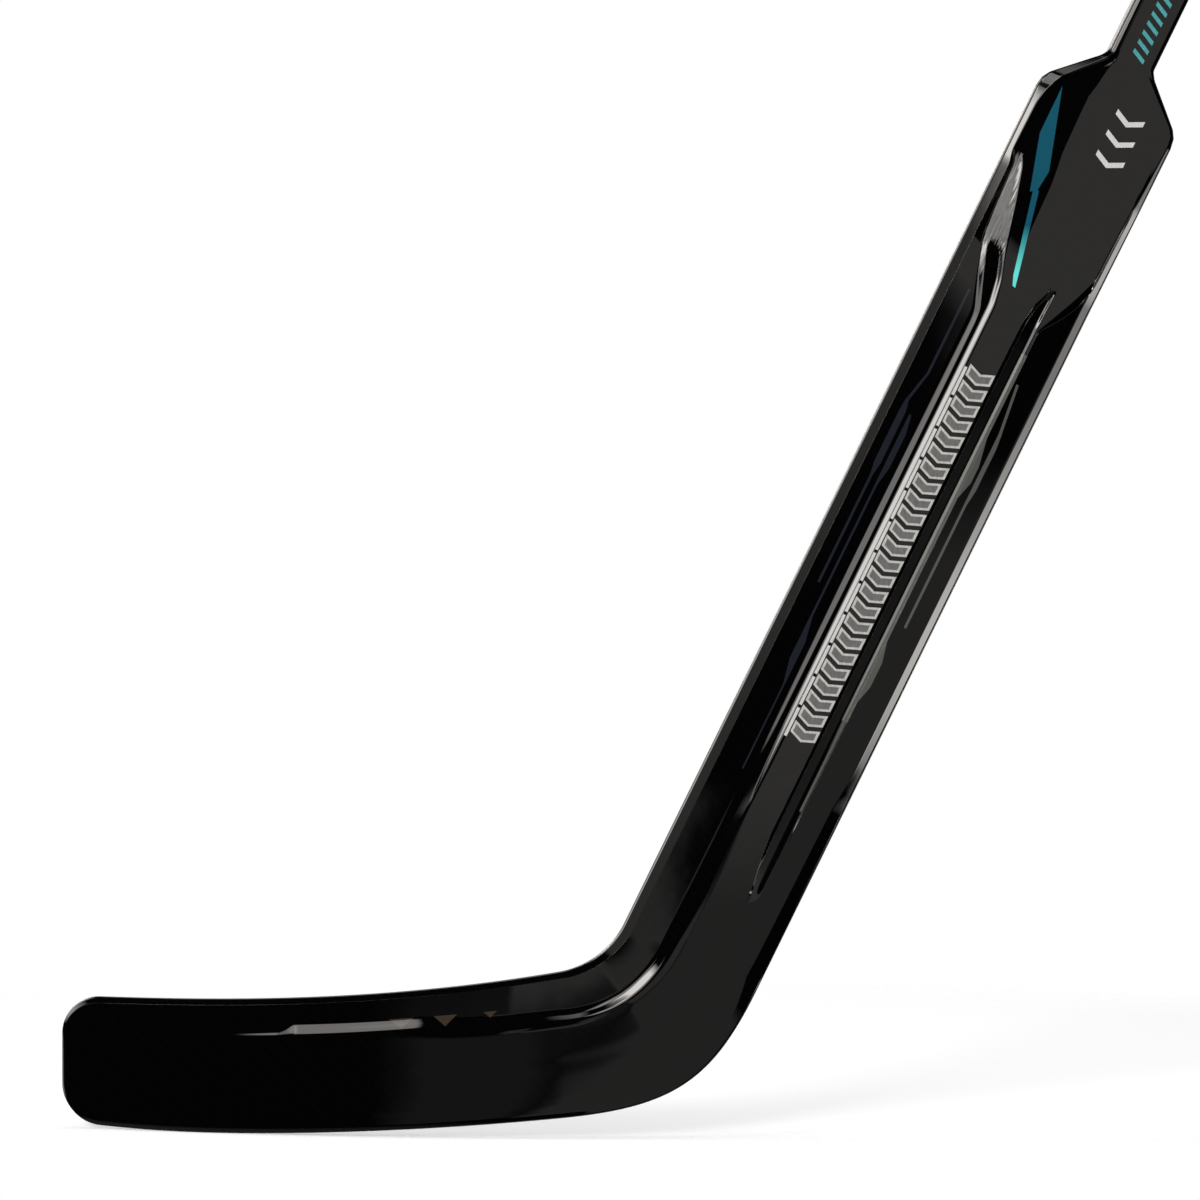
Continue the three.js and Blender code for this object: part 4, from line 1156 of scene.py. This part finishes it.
# Cards of the room that the polish sees: left, right, bottom, top and softness in degrees, strength
ROOM_CARDS = [
    (-38, -26, 14.5, 30, 2, 16),
    (-26.5, -14.3, 9.8, 28, 0.8, 3.6),
    (-21, -17, 16.8, 28, 2, 3),
    (-16, -4, 31, 44, 2, 3),
    (-54, -39, 6, 34, 1.5, 0.55),
    (0.8, 15, -3.8, 16, 1.2, 0.27),
    (0.8, 15, -4.5, 16, 1.2, 0.37),
    (-2.5, 16.5, -60, -3.8, 1, 0.35),
    (16.5, 38.5, -60, -4.7, 1, 0.35),
    (-15, -4, -50, -4, 1.5, 0.15),
    (-7.8, -6.2, -3.4, 0.4, 0.25, 0.42),
    (-6.2, -2.5, -4.6, -2.5, 0.25, 0.42),
    (50, 64, -23.3, -12, 1, 4),
    (50, 64, -23.3, -18, 2, 6),
    (63, 74, -21, -13, 2, 1.4),
    (-105, -66, 8, 50, 6, 7),
    (84, 110, -6, 30, 10, 0.5),
]

# The room behind the stick is the same again, with a dim backdrop that comes in with depth
BACKDROP = 0.25
BACKDROP_START, BACKDROP_FULL = 0.3, 0.75
PLAIN_LEVEL = 0.45
ROOM_TINT = (1, 0.965, 0.93, 1)
ROOM_WOBBLE = 1.6
ROOM_WOBBLE_SCALE = 9


def surroundings():
    """White to the camera, a plain level for the lighting, and to the polish a dim room with cards."""
    world = bpy.data.worlds.new("surroundings")
    bpy.context.scene.world = world
    world.use_nodes = True
    tree = world.node_tree
    path = put(tree, "ShaderNodeLightPath").outputs
    direction = put(tree, "ShaderNodeTexCoord").outputs["Generated"]
    axes = put(tree, "ShaderNodeSeparateXYZ", {0: direction}).outputs
    wobble = noise(tree, direction, ROOM_WOBBLE_SCALE, 3.0)
    drift = math_node(tree, "MULTIPLY_ADD", wobble, ROOM_WOBBLE, -ROOM_WOBBLE / 2)
    depth = math_node(tree, "ABSOLUTE", axes[1])
    turn = math_node(tree, "DEGREES", math_node(tree, "ARCTAN2", axes[0], depth))
    height = math_node(tree, "DEGREES", math_node(tree, "ARCSINE", axes[2]))
    turn = math_node(tree, "ADD", turn, drift)
    height = math_node(tree, "SUBTRACT", height, drift)
    behind = spread(tree, axes[1], BACKDROP_START, BACKDROP_FULL)
    room = math_node(tree, "MULTIPLY", behind, BACKDROP)
    card = make_card()
    for values in ROOM_CARDS:
        settings = dict(zip(CARD_LABELS[2:], values))
        lit = use(tree, card, {"Azimuth": turn, "Elevation": height, **settings})["Light"]
        room = math_node(tree, "ADD", room, lit)
    seen = math_node(tree, "MAXIMUM", path["Is Camera Ray"], path["Is Transmission Ray"])
    plain = put(tree, "ShaderNodeMix", {0: path["Is Glossy Ray"], 2: PLAIN_LEVEL, 3: room}).outputs[0]
    strength = put(tree, "ShaderNodeMix", {0: seen, 2: plain, 3: 1.0}).outputs[0]
    tint = mix_colour(tree, path["Is Glossy Ray"], (1, 1, 1, 1), ROOM_TINT)
    feed(tree, tree.nodes["Background"], {"Color": tint, "Strength": strength})


floor()
surroundings()
bpy.context.scene.view_settings.view_transform = "Standard"
